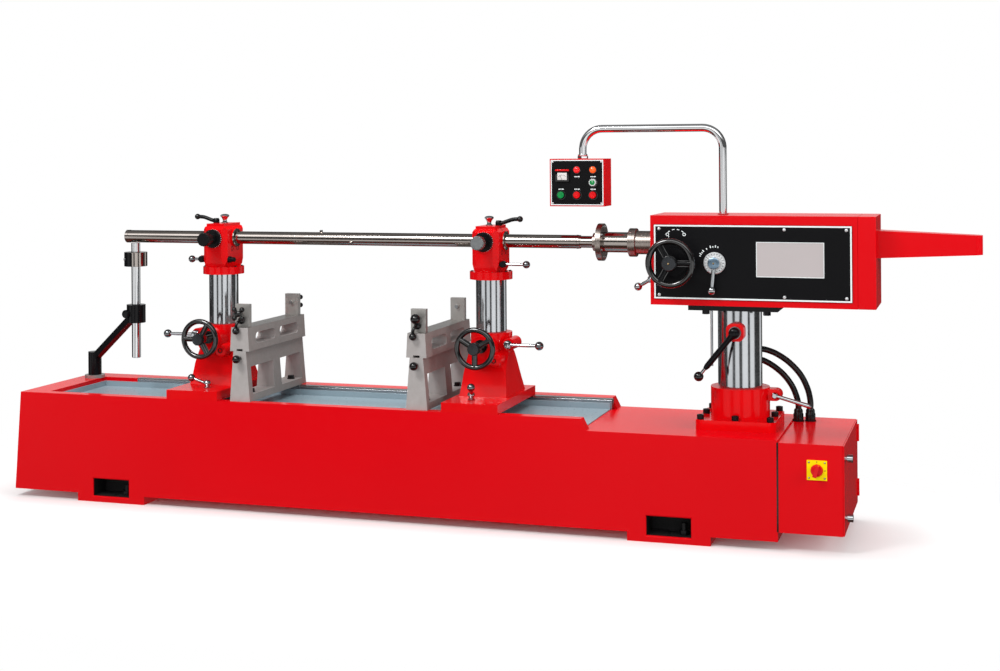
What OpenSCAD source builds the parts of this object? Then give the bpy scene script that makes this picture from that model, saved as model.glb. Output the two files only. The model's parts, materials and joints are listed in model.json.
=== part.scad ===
/* [Bed] */
// Distance from the centre of the anchor holes to the left end of the bed, at the skirt
bed_left = 1467; // [1400:1:1600]
// Distance from the centre of the anchor holes to the right end of the bed
bed_right = 1413; // [1405:1:1500]
// Width of the bed, front to back
bed_w = 510; // [500:1:560]
// Height of the deck above the floor
deck_z = 359; // [330:1:400]
// Height of the raised front rim and rear rail above the deck
way_h = 39; // [30:1:60]
// Clear height under the skirt
skirt_z = 30; // [24:1:60]
// Plate thickness of the bed
bed_wall = 12; // [8:1:16]
// Lean of the left end plate over its height
end_lean = 26; // [0:1:60]
// Distance from the anchor centre to the right end of the raised rim
rim_end = 776; // [700:1:820]
// Width of the front rim
rim_w = 40; // [30:1:60]
// Length of the solid rim at the left end
end_rim_l = 130; // [120:1:200]
// Width of the rear rail
rail_w = 30; // [20:1:40]
// Distance from the bed's middle to the middle of the rear rail
rail_y = 182; // [160:1:190]
// Distance from the anchor centre to the left end of the steel rail
rail_start = 1191; // [1100:1:1250]
// Chamfer along the top of the rail
rail_chamfer = 5; // [2:1:8]
// Thickness of the chip tray sheet
tray_t = 3; // [2:1:6]
// Height of the chip tray's turned-up edges
tray_lip = 24; // [10:1:30]

/* [Feet] */
// Distance between the left and right anchor holes
foot_pitch = 2107; // [1900:1:2300]
// Length of each foot
foot_l = 280; // [240:1:320]
// Depth of each foot, front to back
foot_d = 100; // [80:1:120]
// Thickness of the foot plate on the floor
foot_plate = 22; // [14:1:30]
// Length of the window in front of each foot
pocket_l = 150; // [120:1:180]
// Height of that window
pocket_h = 64; // [40:1:80]
// Plate over the window
pocket_roof = 14; // [8:1:20]
// Diameter of the anchor hole in each foot
anchor_d = 18; // [14:1:24]
// Distance of the anchor hole and the levelling screw from the front of the foot
anchor_in = 45; // [30:1:60]
// Diameter of the levelling screws
level_d = 20; // [16:1:24]
// Distance from the anchor hole to the levelling screw
level_off = 45; // [35:1:55]
// Width across the corners of the levelling nuts
level_nut_d = 34; // [28:1:40]
// Height of the levelling nuts
level_nut_h = 16; // [10:1:20]
// Height of the levelling screws above the floor
level_l = 62; // [50:1:80]

/* [Electric cabinet] */
// Length of the cabinet, with its door
cab_l = 212; // [180:1:260]
// Height of the cabinet's lower edge
cab_z0 = 61; // [50:1:100]
// Height of the cabinet's top
cab_z1 = 352; // [320:1:356]
// Sheet thickness of the cabinet
cab_t = 4; // [2:1:6]
// Clearance between the door and the cabinet
door_gap = 0.4; // [0.3:0.1:1]
// Diameter of the door latches
latch_d = 26; // [20:1:32]
// Height of the door latches
latch_h = 24; // [15:1:30]
// Distance of the latches from the front edge of the door
latch_in = 40; // [30:1:60]
// Distance of the lower latch from the door's lower edge
latch_low = 53; // [40:1:90]
// Distance of the upper latch from the door's upper edge
latch_high = 47; // [40:1:90]
// Diameter of the door's hinge barrels
hinge_d = 8; // [8:1:14]
// Side of the square isolator plate
iso_plate = 64; // [50:1:80]
// Thickness of the isolator plate
iso_plate_t = 3; // [2:1:5]
// Diameter of the isolator knob
iso_knob_d = 40; // [30:1:50]
// Distance from the cabinet's left edge to the isolator
iso_x = 126; // [100:1:140]
// Height of the isolator above the floor
iso_z = 270; // [240:1:300]
// Diameter of the supply cable inlet in the rear wall
inlet_d = 25; // [16:1:32]
// Height of the cable inlet above the cabinet's floor
inlet_up = 60; // [40:1:90]
// Distance of the mounting plate from the cabinet's front and back
board_in = 40; // [30:1:60]
// Distance of the mounting plate from the cabinet's floor
board_low = 30; // [20:1:34]
// Distance of the mounting plate from the cabinet's top
board_high = 60; // [50:1:80]
// Thickness of the mounting plate
board_t = 3; // [2:1:4]
// Depth of the contactors
relay_d = 75; // [60:1:90]
// Width of each contactor
relay_w = 50; // [40:1:60]
// Distance between contactors
relay_pitch = 70; // [64:1:75]
// Height of the contactors
relay_h = 85; // [70:1:95]
// Height of the contactors above the cabinet's floor
relay_up = 110; // [106:1:120]
// Depth of the transformer
trafo_d = 85; // [60:1:95]
// Width of the transformer
trafo_w = 110; // [90:1:130]
// Height of the transformer
trafo_h = 65; // [50:1:70]
// Height of the transformer above the cabinet's floor
trafo_up = 35; // [31:1:40]

/* [Head column] */
// Distance from the anchor centre to the column axis
col_x = 1255; // [1240:1:1270]
// Diameter of the head column
col_d = 150; // [140:1:155]
// Bore of the head column
col_bore = 118; // [100:1:126]
// Radial running clearance of sliding and turning fits
run_gap = 0.05; // [0.02:0.01:0.1]
// Side of the square collar flange
flange_w = 270; // [262:1:280]
// Thickness of the collar flange
flange_t = 33; // [25:1:40]
// Corner radius of the collar flange
flange_r = 28; // [20:1:36]
// Outer diameter of the collar
collar_d = 200; // [190:1:205]
// Height of the collar above the deck
collar_h = 133; // [110:1:145]
// Distance of the flange bolts from the column axis, along X and Y
bolt_off = 117; // [115:1:120]
// Head diameter of the flange bolts
bolt_head = 24; // [20:1:26]
// Shank diameter of the flange bolts
bolt_d = 16; // [12:1:18]
// Width of the slit in the collar
slit_w = 5; // [3:1:8]
// Distance from the column axis to the clamp bolt of the collar
clamp_x = 122; // [118:1:130]
// Diameter of the clamp bolt
clamp_d = 16; // [12:1:20]
// Length of the collar handle
handle_l = 118; // [90:1:130]
// Droop of the collar handle in degrees
handle_droop = 15; // [5:1:20]
// Length of the column below the deck
col_below = 59; // [50:1:90]

/* [Head] */
// Length of the head with its end cover
head_l = 749; // [730:1:780]
// Distance from the anchor centre to the head's left end
head_x = 970; // [960:1:980]
// Depth of the head, front to back
head_w = 240; // [230:1:260]
// Height of the underside of the head
head_z0 = 775; // [765:1:790]
// Height of the head
head_h = 304; // [296:1:320]
// Wall thickness of the head
head_wall = 8; // [6:1:10]
// Length of the end cover
end_cover_l = 59; // [40:1:70]
// Thickness of the plate under the head
plate_t = 18; // [14:1:24]
// Length of the plate under the head
plate_l = 320; // [300:1:340]
// Depth of the plate under the head
plate_w = 200; // [190:1:220]
// Height of the spindle axis above the floor
spin_z = 978; // [970:1:985]
// Length of the tail cover
tail_l = 332; // [320:1:360]
// Height of the tail cover at the head
tail_h0 = 91; // [85:1:100]
// Height of the tail cover at its tip
tail_h1 = 63; // [58:1:70]
// Corner radius of the tail cover's tip
tail_r = 22; // [12:1:28]
// Sheet thickness of the tail cover
tail_t = 4; // [3:1:6]
// Height of the tail cover's middle above the spindle axis
tail_up = 6; // [0:1:8]
// Length of the control panel
panel_l = 660; // [640:1:670]
// Height of the control panel
panel_h = 252; // [240:1:262]
// Thickness of the control panel
panel_t = 4; // [3:1:6]
// Distance of the panel's lower edge above the head's underside
panel_up = 21; // [15:1:26]
// Distance from the head's left end to the panel
panel_in = 13; // [8:1:16]
// Length of the screen
screen_l = 221; // [200:1:240]
// Height of the screen
screen_h = 115; // [100:1:125]
// Distance from the head's left end to the screen's left edge
screen_in = 361; // [355:1:370]
// Height of the screen's middle above the head's underside
screen_z = 159; // [150:1:165]
// Depth of the screen in the panel
screen_t = 2; // [1:0.5:2.5]
// Side of the lock boss on the column
boss_w = 60; // [50:1:70]
// Distance from the head's underside down to the lock boss axis
boss_drop = 89; // [85:1:110]
// Length of the column lock lever
lock_l = 192; // [160:1:195]
// Angle of the column lock lever from straight down
lock_ang = 39; // [30:1:50]
// Diameter of the stop rod beside the column
stop_d = 9; // [6:1:12]
// Length of the stop rod
stop_l = 201; // [180:1:205]
// Distance from the column axis to the stop rod
stop_off = 97; // [92:1:100]

/* [Spindle and bar] */
// Diameter of the boring bar
bar_d = 48; // [44:1:50]
// Diameter of the bar's neck at the coupling
bar_neck_d = 42; // [40:1:46]
// Length of that neck
bar_neck_l = 48; // [30:1:60]
// Distance from the anchor centre to the bar's left end
bar_left = 1130; // [1120:1:1140]
// Diameter of the coupling flange
coup_d = 132; // [120:1:140]
// Thickness of the coupling flange
coup_t = 20; // [14:1:26]
// Distance from the head's left end to the coupling flange's right face
coup_out = 190; // [180:1:200]
// Diameter of the hub on the coupling
coup_hub_d = 64; // [58:1:72]
// Length of that hub
coup_hub_l = 18; // [12:1:24]
// Diameter of the spindle shaft in the head
shaft_d = 36; // [32:1:40]
// Distance of the shaft's right end past the head's right end
shaft_out = 221; // [200:1:230]
// Outer diameter of the quill
quill_d = 71.5; // [70:0.5:72]
// Bore of the quill
quill_bore = 50; // [46:1:54]
// Distance of the quill's right end from the head's left end
quill_in = 330; // [325:1:335]
// Length of each spindle bearing
bearing_l = 16; // [12:1:20]
// Diameter of the ring on the nose sleeve
nose_ring_d = 100; // [92:1:108]
// Thickness of the ring on the nose sleeve
nose_ring_l = 26; // [20:1:32]
// Distance the nose sleeve stands out of the head
nose_out = 98; // [90:1:104]
// Outer diameter of the nose sleeve
nose_d = 82; // [80:1:88]
// Side of the square cutter bits
bit_w = 10; // [8:1:14]
// Distance the cutter bits stand out of the bar
bit_out = 8; // [5:1:12]
// Distance between neighbouring cutter bits
bit_pitch = 130; // [100:1:150]
// Module of the feed rack and pinion
rack_m = 2.5; // [2.5:0.5:2.5]
// Number of teeth on the feed pinion
pinion_n = 18; // [18:1:18]
// Width of the feed pinion
pinion_w = 26; // [20:1:30]
// Clearance between the rack and pinion teeth
tooth_gap = 0.4; // [0.3:0.1:0.6]
// Diameter of the feed handwheel
feed_d = 168; // [155:1:172]
// Diameter of the rim of the feed handwheel
feed_rim = 21; // [16:1:24]
// Distance from the head's left end to the feed handwheel
feed_in = 83; // [80:1:90]
// Distance of the feed handwheel in front of the panel
feed_out = 72; // [60:1:80]
// Distance from the head's left end to the selector
sel_in = 221; // [215:1:230]
// Height of the selector above the head's underside
sel_z = 145; // [140:1:150]
// Diameter of the selector dial
sel_d = 74; // [66:1:80]
// Length of the selector lever
sel_l = 92; // [80:1:96]
// Diameter of the control shafts
ctl_d = 20; // [16:1:22]
// Diameter of the pulley on the spindle
pulley_d = 110; // [104:1:114]
// Diameter of the pulley on the motor
mpulley_d = 60; // [56:1:64]
// Width of the pulleys
pulley_w = 36; // [30:1:40]
// Thickness of the drive belt
belt_t = 6; // [4:1:7]
// Distance from the head's left end to the pulleys
pulley_in = 430; // [420:1:440]
// Distance of the motor axis below the spindle axis
motor_drop = 118; // [115:1:120]
// Diameter of the motor
motor_d = 130; // [120:1:135]
// Length of the motor
motor_l = 170; // [150:1:180]
// Diameter of the motor shaft
mshaft_d = 24; // [19:1:28]

/* [Pendant] */
// Outer diameter of the pendant pipe
pipe_d = 27; // [24:1:30]
// Distance from the head's left end to the pipe
pipe_in = 230; // [225:1:240]
// Reach of the pipe from its foot to the pendant
pipe_reach = 496; // [470:1:510]
// Height of the pipe's level run above the head
pipe_h = 298; // [285:1:310]
// Bend radius of the pipe
pipe_bend = 70; // [60:1:80]
// Diameter of the ring at the foot of the pendant's pipe
pipe_foot_d = 38; // [34:1:50]
// Height of that ring
pipe_foot_h = 5; // [4:1:12]
// Width of the pendant box
pend_w = 198; // [190:1:204]
// Height of the pendant box
pend_h = 167; // [160:1:170]
// Depth of the pendant box
pend_d = 100; // [90:1:110]
// Wall of the pendant box
pend_t = 3; // [2:1:4]
// Height of the nut on top of the pendant box
pend_nut = 16; // [12:1:20]
// Height of the pendant box's underside above the head's top
pend_up = 26; // [24:1:30]
// Spacing of the pendant controls across
key_dx = 58; // [54:1:60]
// Spacing of the pendant controls upwards
key_dz = 44; // [40:1:46]
// Diameter of the push buttons
key_d = 28; // [24:1:30]
// Travel of the push buttons
key_travel = 4; // [3:0.5:5]

/* [Uprights] */
// Distance from the anchor centre to the left upright
left_x = -713; // [-720:1:-700]
// Distance from the anchor centre to the right upright
right_x = 360; // [355:1:365]
// Width of the upright's base plate
base_w = 206; // [196:1:212]
// Depth of the upright's base plate
base_l = 458; // [450:1:470]
// Thickness of the upright's base plate
base_t = 33; // [28:1:38]
// Width of the pedestal's foot
ped_w = 176; // [170:1:186]
// Depth of the pedestal's foot
ped_l = 252; // [240:1:262]
// Distance of the foot's middle behind the column axis
ped_off = 19; // [10:1:25]
// Height of the pedestal above the base plate
ped_h = 221; // [210:1:230]
// Outer diameter of the pedestal's collar
ped_d = 150; // [144:1:156]
// Height of the plain collar at the top of the pedestal
ped_collar = 105; // [95:1:120]
// Radius at the foot of the cone that rounds the pedestal's corners
ped_round = 150; // [140:1:165]
// Step from the rounded foot out to the collar
ped_lip = 2; // [1:0.5:4]
// Diameter of the upright's column
up_d = 110; // [105:1:112]
// Bore of the upright's column
up_bore = 64; // [60:1:70]
// Depth of the column in the pedestal
up_in = 157; // [140:1:158]
// Diameter of the lifting screw
screw_d = 30; // [26:1:34]
// Height of the nut in the foot of the column
lift_nut = 30; // [24:1:36]
// Diameter of the gear boss on the pedestal
gear_boss_d = 100; // [90:1:104]
// Distance of the gear boss axis below the pedestal's top
gear_boss_drop = 56; // [54:1:60]
// Distance of the gear boss front from the column axis
gear_boss_out = 116; // [110:1:120]
// Distance of the handwheel shaft below the pedestal's top
wheel_drop = 40; // [36:1:44]
// Distance of the handwheel from the column axis
wheel_out = 190; // [180:1:196]
// Diameter of the lifting handwheel
wheel_d = 150; // [140:1:160]
// Diameter of the rim of the lifting handwheel
wheel_rim = 19; // [16:1:22]
// Diameter of the ring under the housing
ring_d = 154; // [150:1:160]
// Thickness of that ring
ring_t = 28; // [22:1:32]
// Width of the housing along the bar
house_w = 100; // [96:1:106]
// Depth of the housing, front to back
house_l = 160; // [154:1:166]
// Height of the housing
house_h = 164; // [158:1:168]
// Height of the bar axis above the housing's foot
house_bar = 109; // [107:1:111]
// Chamfer on the housing's corners
house_cut = 18; // [12:1:22]
// Inset of the housing's neck
house_neck = 12; // [8:1:14]
// Height over which the neck widens to the body
house_neck_h = 28; // [20:1:34]
// Height of the housing's raised top
house_top = 10; // [6:1:12]
// Cut along the housing's upper edges
house_edge = 12; // [4:1:13]
// Outer diameter of the bar bush
bush_d = 70; // [66:1:74]
// Distance the bush stands out of the housing
bush_out = 5; // [3:1:8]
// Diameter of the micrometer flange
micro_d = 70; // [64:1:74]
// Diameter of the micrometer stem
micro_stem = 40; // [34:1:44]
// Width across the corners of the micrometer's end
micro_end = 52; // [46:1:56]
// Length of the micrometer in front of the housing
micro_l = 82; // [70:1:90]
// Diameter of the oil cap
oil_d = 34; // [28:1:38]
// Height of the oil cap
oil_h = 36; // [30:1:40]
// Diameter of the pivots of the ball levers
pivot_d = 12; // [10:1:14]
// Diameter of the ball on the large levers
ball_big = 30; // [26:1:32]
// Diameter of the ball on the small levers
ball_small = 24; // [20:1:26]

/* [Block supports] */
// Distance from the anchor centre to the left support
sup_left = -524; // [-530:1:-515]
// Distance from the anchor centre to the right support
sup_right = 161; // [155:1:170]
// Width of the trestle at its foot
sup_w0 = 80; // [74:1:86]
// Width of the trestle at its top
sup_w1 = 50; // [46:1:56]
// Depth of the support, front to back
sup_l = 480; // [470:1:490]
// Height of the trestle
sup_h = 182; // [174:1:190]
// Thickness of the trestle's end legs
sup_leg = 30; // [24:1:40]
// Thickness of the trestle's middle rib
sup_rib = 60; // [40:1:70]
// Height of the trestle's foot bar
sup_foot = 24; // [20:1:30]
// Height of the trestle's top beam
sup_beam = 58; // [50:1:64]
// Width of the seat block at its foot
seat_w0 = 76; // [70:1:82]
// Width of the seat block at its top
seat_w1 = 66; // [60:1:70]
// Height of the seat block
seat_h = 86; // [80:1:92]
// Height of the clamp posts above the seat
post_h = 84; // [76:1:90]
// Depth of the clamp posts
post_l = 20; // [16:1:24]
// Width of the clamp posts
post_w = 56; // [48:1:60]
// Distance of the clamp posts from the seat block's ends
post_in = 22; // [16:1:26]
// Length of the slots in the seat block
slot_l = 160; // [140:1:180]
// Height of the slots in the seat block
slot_h = 40; // [32:1:44]
// Width of the web between the slots in the seat block
slot_web = 40; // [30:1:50]
// Diameter of the clamp screws
post_screw = 14; // [12:1:16]
// Height of the clamp screws above the seat, as a share of the posts' height
post_share = 0.6; // [0.5:0.05:0.7]
// Clearance of the seat block's guide in the trestle
guide_gap = 0.3; // [0.3:0.1:0.5]

/* [Bar rest] */
// Distance from the anchor centre to the rest rod
rest_x = -1094; // [-1100:1:-1085]
// Distance from the anchor centre to the rest post
post_x = -1372; // [-1380:1:-1365]
// Distance of the rest post behind the bar
post_y = 145; // [130:1:150]
// Diameter of the rest post
post_d = 52; // [46:1:58]
// Height of the rest post above the rim
rest_post_h = 104; // [96:1:112]
// Diameter of the plate under the rest post
post_plate_d = 79; // [72:1:86]
// Side of the square rest arm
arm_w = 26; // [22:1:30]
// Diameter of the rest rod
rod_d = 34; // [30:1:36]
// Distance of the rod's lower end below the bar
rod_low = 472; // [460:1:480]
// Clearance between the rod and the bar
rod_gap = 0.5; // [0.3:0.1:1]
// Outer diameter of the rod clamp
rclamp_d = 72; // [66:1:78]
// Height of the rod clamp
rclamp_h = 70; // [60:1:80]
// Distance of the rod clamp's middle below the bar
rclamp_drop = 300; // [290:1:310]
// Outer diameter of the ring on the rod
rring_d = 88; // [82:1:92]
// Height of the ring on the rod
rring_h = 55; // [48:1:60]
// Distance of the ring's top below the bar
rring_drop = 61; // [55:1:66]

/* [Conduits] */
// Outer diameter of the conduits
hose_d = 21; // [18:1:24]
// Diameter of the cable glands
gland_d = 32; // [28:1:34]
// Height of the cable glands
gland_h = 42; // [36:1:46]

/* [Hidden] */
$fn = 48;

// Colours as the object shows them
red = "#d9141d";
grey = "#a9a5a3";
steel = "#c9cdd1";
black = "#1d1d1f";
tray_blue = "#b5c6ce";
green = "#1f9a4a";

// Gap between flat faces of pieces that turn or slide on each other
face_gap = 0.3;
// Clearance of a fixed piece in its hole
seat_gap = 0.1;

// Derived places
way_z = deck_z + way_h;
bed_front = -bed_w / 2;
bed_back = bed_w / 2;
rail_x0 = -rail_start;
rail_x1 = rim_end - way_h / 3;
tray_y0 = bed_front + rim_w;
tray_y1 = rail_y - rail_w / 2;
tray_x0 = -bed_left + end_rim_l;
cab_x0 = bed_right;
cab_x1 = bed_right + cab_l;
door_x0 = cab_x1 - cab_t;
hinge_x = cab_x1 + hinge_d / 2 - 2;
hinge_y = bed_back - 1;
collar_z1 = deck_z + collar_h;
clamp_z = collar_z1 - 24;
ear_w = 48;
head_top = head_z0 + head_h;
head_x1 = head_x + head_l;
case_x1 = head_x1 - end_cover_l;
plate_z = head_z0 - plate_t;
panel_y = -head_w / 2 - panel_t;
boss_z = head_z0 - boss_drop;
tail_z = spin_z + tail_up;
boss_y = -col_d / 2 - 34;
rack_add = 0.9 * rack_m;
rack_ded = 1.2 * rack_m;
rack_pitch = PI * rack_m;
pinion_r = rack_m * pinion_n / 2;
pitch_z = spin_z - quill_d / 2 + rack_add;
feed_x = head_x + feed_in;
feed_z = pitch_z - pinion_r;
feed_y = panel_y - feed_out;
feed_back = 75;
feed_ahead = 225;
sel_x = head_x + sel_in;
sel_cz = head_z0 + sel_z;
coup_x1 = head_x - coup_out;
coup_x0 = coup_x1 - coup_t;
quill_x0 = coup_x1 + face_gap;
quill_x1 = head_x + quill_in;
nose_x0 = head_x - nose_out;
nose_x1 = head_x + head_wall + 30;
pulley_x0 = head_x + pulley_in;
pulley_x1 = pulley_x0 + pulley_w;
motor_z = spin_z - motor_drop;
motor_x0 = pulley_x1 + 16;
pipe_x = head_x + pipe_in;
pipe_z = head_top + pipe_h;
pipe_end = pipe_x - pipe_reach;
pend_z0 = head_top + pend_up;
pend_z1 = pend_z0 + pend_h;
pend_front = -pend_d / 2;
pend_x = pipe_end - 9;
key_z = pend_z0 + 40;
ped_z0 = way_z + base_t;
ped_z1 = ped_z0 + ped_h;
up_z0 = ped_z1 - up_in;
flare_z = ped_z1 - ped_collar / 2;
house_z0 = spin_z - house_bar;
house_z1 = house_z0 + house_h;
ring_z0 = house_z0 - ring_t;
house_y = -house_l / 2;
wheel_z = ped_z1 - wheel_drop;
lock_x = ped_d / 2 + 7;
lock_y = -60;
lock_z = ped_z1 - 38;
side_x = house_w / 2 + 13;
side_y = -42;
side_z = house_z0 + 29;
base_lever_x = -20;
base_lever_y = -172;
sup_z1 = way_z + sup_h;
seat_z1 = sup_z1 + seat_h;
tongue_w = 24;
tongue_h = 8;
rod_top = spin_z - bar_d / 2 - rod_gap;
rclamp_z = spin_z - rclamp_drop;
rring_z1 = spin_z - rring_drop;

// Conduit ends on the cabinet, from the bed's right end and the middle, and on the column
gland_at = [[19, 161], [59, 172]];
col_gland_z = [568, 604];
col_gland_ang = 20;
gland_shank = 19;

// Conduit routes, from the column to the cabinet
hose_sides = 10;
hose_ref = [-0.5, 0.8, 0.3];
hose_low = [
    [1295.2, 110.3, 568], [1300.3, 124.4, 568], [1318, 150, 558.8], [1348, 166, 538.7], [1382, 170, 509.4],
    [1410, 167, 472.8], [1426, 163, 436.1], [1432, 161, 408.7], [1432, 161, 394]
];
hose_high = [
    [1295.2, 110.3, 604], [1300.3, 124.4, 604], [1322, 152, 598.4], [1358, 172, 581.7], [1400, 180, 552],
    [1438, 180, 511.1], [1462, 176, 464.6], [1472, 172, 422.8], [1472, 172, 394]
];

// Lean of the bed's left end at height z
function lean(z) = end_lean * (z - skirt_z) / (way_z - skirt_z);
// Involute angle in degrees
function inv_deg(a) = tan(a) * 180 / PI - a;
// Radius that sweeps from the collar's width out to a foot of half width w
function sweep(w) = (pow(flare_z - ped_z0, 2) + pow(w - ped_d / 2, 2)) / (2 * (w - ped_d / 2));
// Unit vector
function unit(v) = v / norm(v);
// Direction of a route at point i
function heading(p, i) = unit(p[min(i + 1, len(p) - 1)] - p[max(i - 1, 0)]);
// Ring of points round point p, square to direction t
function ring_at(p, t, r, n) = let(a = unit(cross(t, hose_ref)), b = cross(t, a))
    [for (i = [0 : n - 1]) p + r * (cos(360 * i / n) * a + sin(360 * i / n) * b)];

// Block between two corners
module block(x0, x1, y0, y1, z0, z1) {
    translate([x0, y0, z0]) cube([x1 - x0, y1 - y0, z1 - z0]);
}
// Round bars along each axis
module bar_x(y, z, d, x0, x1) {
    translate([x0, y, z]) rotate([0, 90, 0]) cylinder(d = d, h = x1 - x0);
}
module bar_y(x, z, d, y0, y1) {
    translate([x, y1, z]) rotate([90, 0, 0]) cylinder(d = d, h = y1 - y0);
}
module bar_z(x, y, d, z0, z1) {
    translate([x, y, z0]) cylinder(d = d, h = z1 - z0);
}
// Outline in X and Z, drawn out along Y
module slab_y(y0, y1) {
    translate([0, y1, 0]) rotate([90, 0, 0]) linear_extrude(y1 - y0) children();
}
// Outline in Y and Z, drawn out along X
module slab_x(x0, x1) {
    translate([x0, 0, 0]) rotate([90, 0, 90]) linear_extrude(x1 - x0) children();
}
// Rectangle with round corners, about the origin
module round_rect(w, h, r) {
    square([w - 2 * r, h], center = true);
    square([w, h - 2 * r], center = true);
    for (x = [-1, 1], y = [-1, 1])
        translate([x * (w / 2 - r), y * (h / 2 - r)]) circle(r = r);
}
// Rectangle with cut corners, about the origin
module cut_rect(w, h, c) {
    polygon([
        [-w / 2 + c, -h / 2], [w / 2 - c, -h / 2], [w / 2, -h / 2 + c], [w / 2, h / 2 - c],
        [w / 2 - c, h / 2], [-w / 2 + c, h / 2], [-w / 2, h / 2 - c], [-w / 2, -h / 2 + c]
    ]);
}
// Straight lever along +X with a ball on its end
module ball_arm(l, d, ball) {
    rotate([0, 90, 0]) cylinder(d = d, h = l);
    translate([l, 0, 0]) sphere(d = ball);
}
// Handwheel about the Y axis, with three flat spokes
module handwheel(d, rim, hub_d, hub_l, turn) {
    rotate([90, 0, 0]) rotate_extrude() translate([(d - rim) / 2, 0]) circle(d = rim);
    bar_y(0, 0, hub_d, -hub_l / 2, hub_l / 2);
    for (i = [0 : 2])
        rotate([0, turn + 120 * i, 0])
            block(hub_d / 3, (d - rim) / 2, -rim / 4, rim / 4, -rim / 2, rim / 2);
}
// Places a piece of the left or the right upright, whose levers point outwards
module upright(x) {
    translate([x, 0, 0]) mirror([x < 0 ? 1 : 0, 0, 0]) children();
}
// Cable gland standing on the XY plane
module gland() {
    cylinder(d = gland_d, h = gland_h / 3, $fn = 6);
    cylinder(d = gland_d * 0.85, h = gland_h * 0.8);
    cylinder(d = hose_d + 4, h = gland_h);
}

// Bed
module bed_outline(i) {
    polygon([
        [-bed_left + i, skirt_z - min(i, 1)], [bed_right - i, skirt_z - min(i, 1)],
        [bed_right - i, deck_z - i], [-bed_left + lean(deck_z) + i, deck_z - i]
    ]);
}
module rim_outline(x1, slope) {
    polygon([
        [-bed_left + lean(deck_z), deck_z], [x1 + slope, deck_z], [x1, way_z],
        [-bed_left + end_lean, way_z]
    ]);
}
module at_feet() {
    for (x = [-1, 1], y = [0, 1])
        translate([x * foot_pitch / 2, 0, 0]) mirror([0, y, 0]) children();
}
module bed_casing() color(red) {
    difference() {
        union() {
            difference() {
                slab_y(bed_front, bed_back) bed_outline(0);
                slab_y(bed_front + bed_wall, bed_back - bed_wall) bed_outline(bed_wall);
            }
            slab_y(bed_front, tray_y0) rim_outline(rim_end - way_h / 2, way_h / 2);
            slab_y(rail_y + rail_w / 2, bed_back) rim_outline(rim_end - way_h / 2, way_h / 2);
            slab_y(bed_front, bed_back) rim_outline(tray_x0, 0);
            block(tray_x0, rail_x0, tray_y1, bed_back, deck_z, way_z);
            at_feet() block(-foot_l / 2, foot_l / 2, bed_front, bed_front + foot_d, 0,
                foot_plate + pocket_h + pocket_roof);
        }
        at_feet() {
            block(-pocket_l / 2, pocket_l / 2, bed_front - 1, bed_front + foot_d - bed_wall, foot_plate,
                foot_plate + pocket_h);
            bar_z(0, bed_front + anchor_in, anchor_d, -1, foot_plate + 1);
            bar_z(level_off, bed_front + anchor_in, level_d + 2 * seat_gap, -1, foot_plate + 1);
        }
        bar_z(col_x, 0, col_d + 8, deck_z - bed_wall - 1, deck_z + 1);
    }
}
module chip_tray() color(tray_blue) {
    difference() {
        block(tray_x0, rim_end - way_h / 2, tray_y0, tray_y1, deck_z, deck_z + tray_lip);
        block(tray_x0 + tray_t, rim_end, tray_y0 + tray_t, tray_y1 - tray_t, deck_z + tray_t, way_z);
    }
}
module rear_rail() color(steel) {
    c = rail_chamfer;
    slab_x(rail_x0, rail_x1) polygon([
        [tray_y1, deck_z], [tray_y1 + rail_w, deck_z], [tray_y1 + rail_w, way_z - c],
        [tray_y1 + rail_w - c, way_z], [tray_y1 + c, way_z], [tray_y1, way_z - c]
    ]);
}
module levelling_screws() color(steel) {
    at_feet() {
        bar_z(level_off, bed_front + anchor_in, level_d, 0, level_l);
        translate([level_off, bed_front + anchor_in, foot_plate])
            cylinder(d = level_nut_d, h = level_nut_h, $fn = 6);
    }
}

// Electric cabinet
module electric_cabinet() color(red) {
    difference() {
        union() {
            block(cab_x0, door_x0 - door_gap, bed_front, bed_back, cab_z0, cab_z1);
            block(cab_x0 + iso_x - iso_plate / 2, cab_x0 + iso_x + iso_plate / 2,
                bed_front - iso_plate_t, bed_front + 1, iso_z - iso_plate / 2, iso_z + iso_plate / 2);
        }
        block(cab_x0 + cab_t, cab_x1, bed_front + cab_t, bed_back - cab_t, cab_z0 + cab_t, cab_z1 - cab_t);
        bar_y(cab_x0 + iso_x, iso_z, pivot_d + 2 * run_gap, bed_front - 10, bed_front + 10);
        for (g = gland_at) bar_z(cab_x0 + g[0], g[1], gland_shank + 2 * seat_gap, cab_z1 - 10, cab_z1 + 1);
        bar_y(cab_x0 + cab_l / 2, cab_z0 + inlet_up, inlet_d, bed_back - 10, bed_back + 1);
    }
}
module cabinet_fittings() color(black) {
    for (g = gland_at) {
        translate([cab_x0 + g[0], g[1], cab_z1]) gland();
        bar_z(cab_x0 + g[0], g[1], gland_shank, cab_z1 - cab_t - 12, cab_z1 + 1);
    }
    x = cab_x0 + cab_t;
    block(x, x + board_t, bed_front + board_in, bed_back - board_in, cab_z0 + board_low, cab_z1 - board_high);
    for (i = [-2 : 2])
        translate([x + board_t, relay_pitch * i - relay_w / 2, cab_z0 + relay_up])
            cube([relay_d, relay_w, relay_h]);
    block(x + board_t, x + board_t + trafo_d, -trafo_w / 2, trafo_w / 2, cab_z0 + trafo_up,
        cab_z0 + trafo_up + trafo_h);
}
module cabinet_door() color(red) {
    block(door_x0, cab_x1, bed_front + 1, bed_back - 1, cab_z0 + 1, cab_z1 - 1);
    for (z = [cab_z0 + latch_low, cab_z1 - latch_high]) {
        bar_x(bed_front + latch_in, z, latch_d, cab_x1 + 6, cab_x1 + latch_h);
        bar_x(bed_front + latch_in, z, latch_d * 0.7, cab_x1, cab_x1 + 6);
        bar_z(hinge_x, hinge_y, hinge_d, z - 30, z + 30);
    }
}
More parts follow.
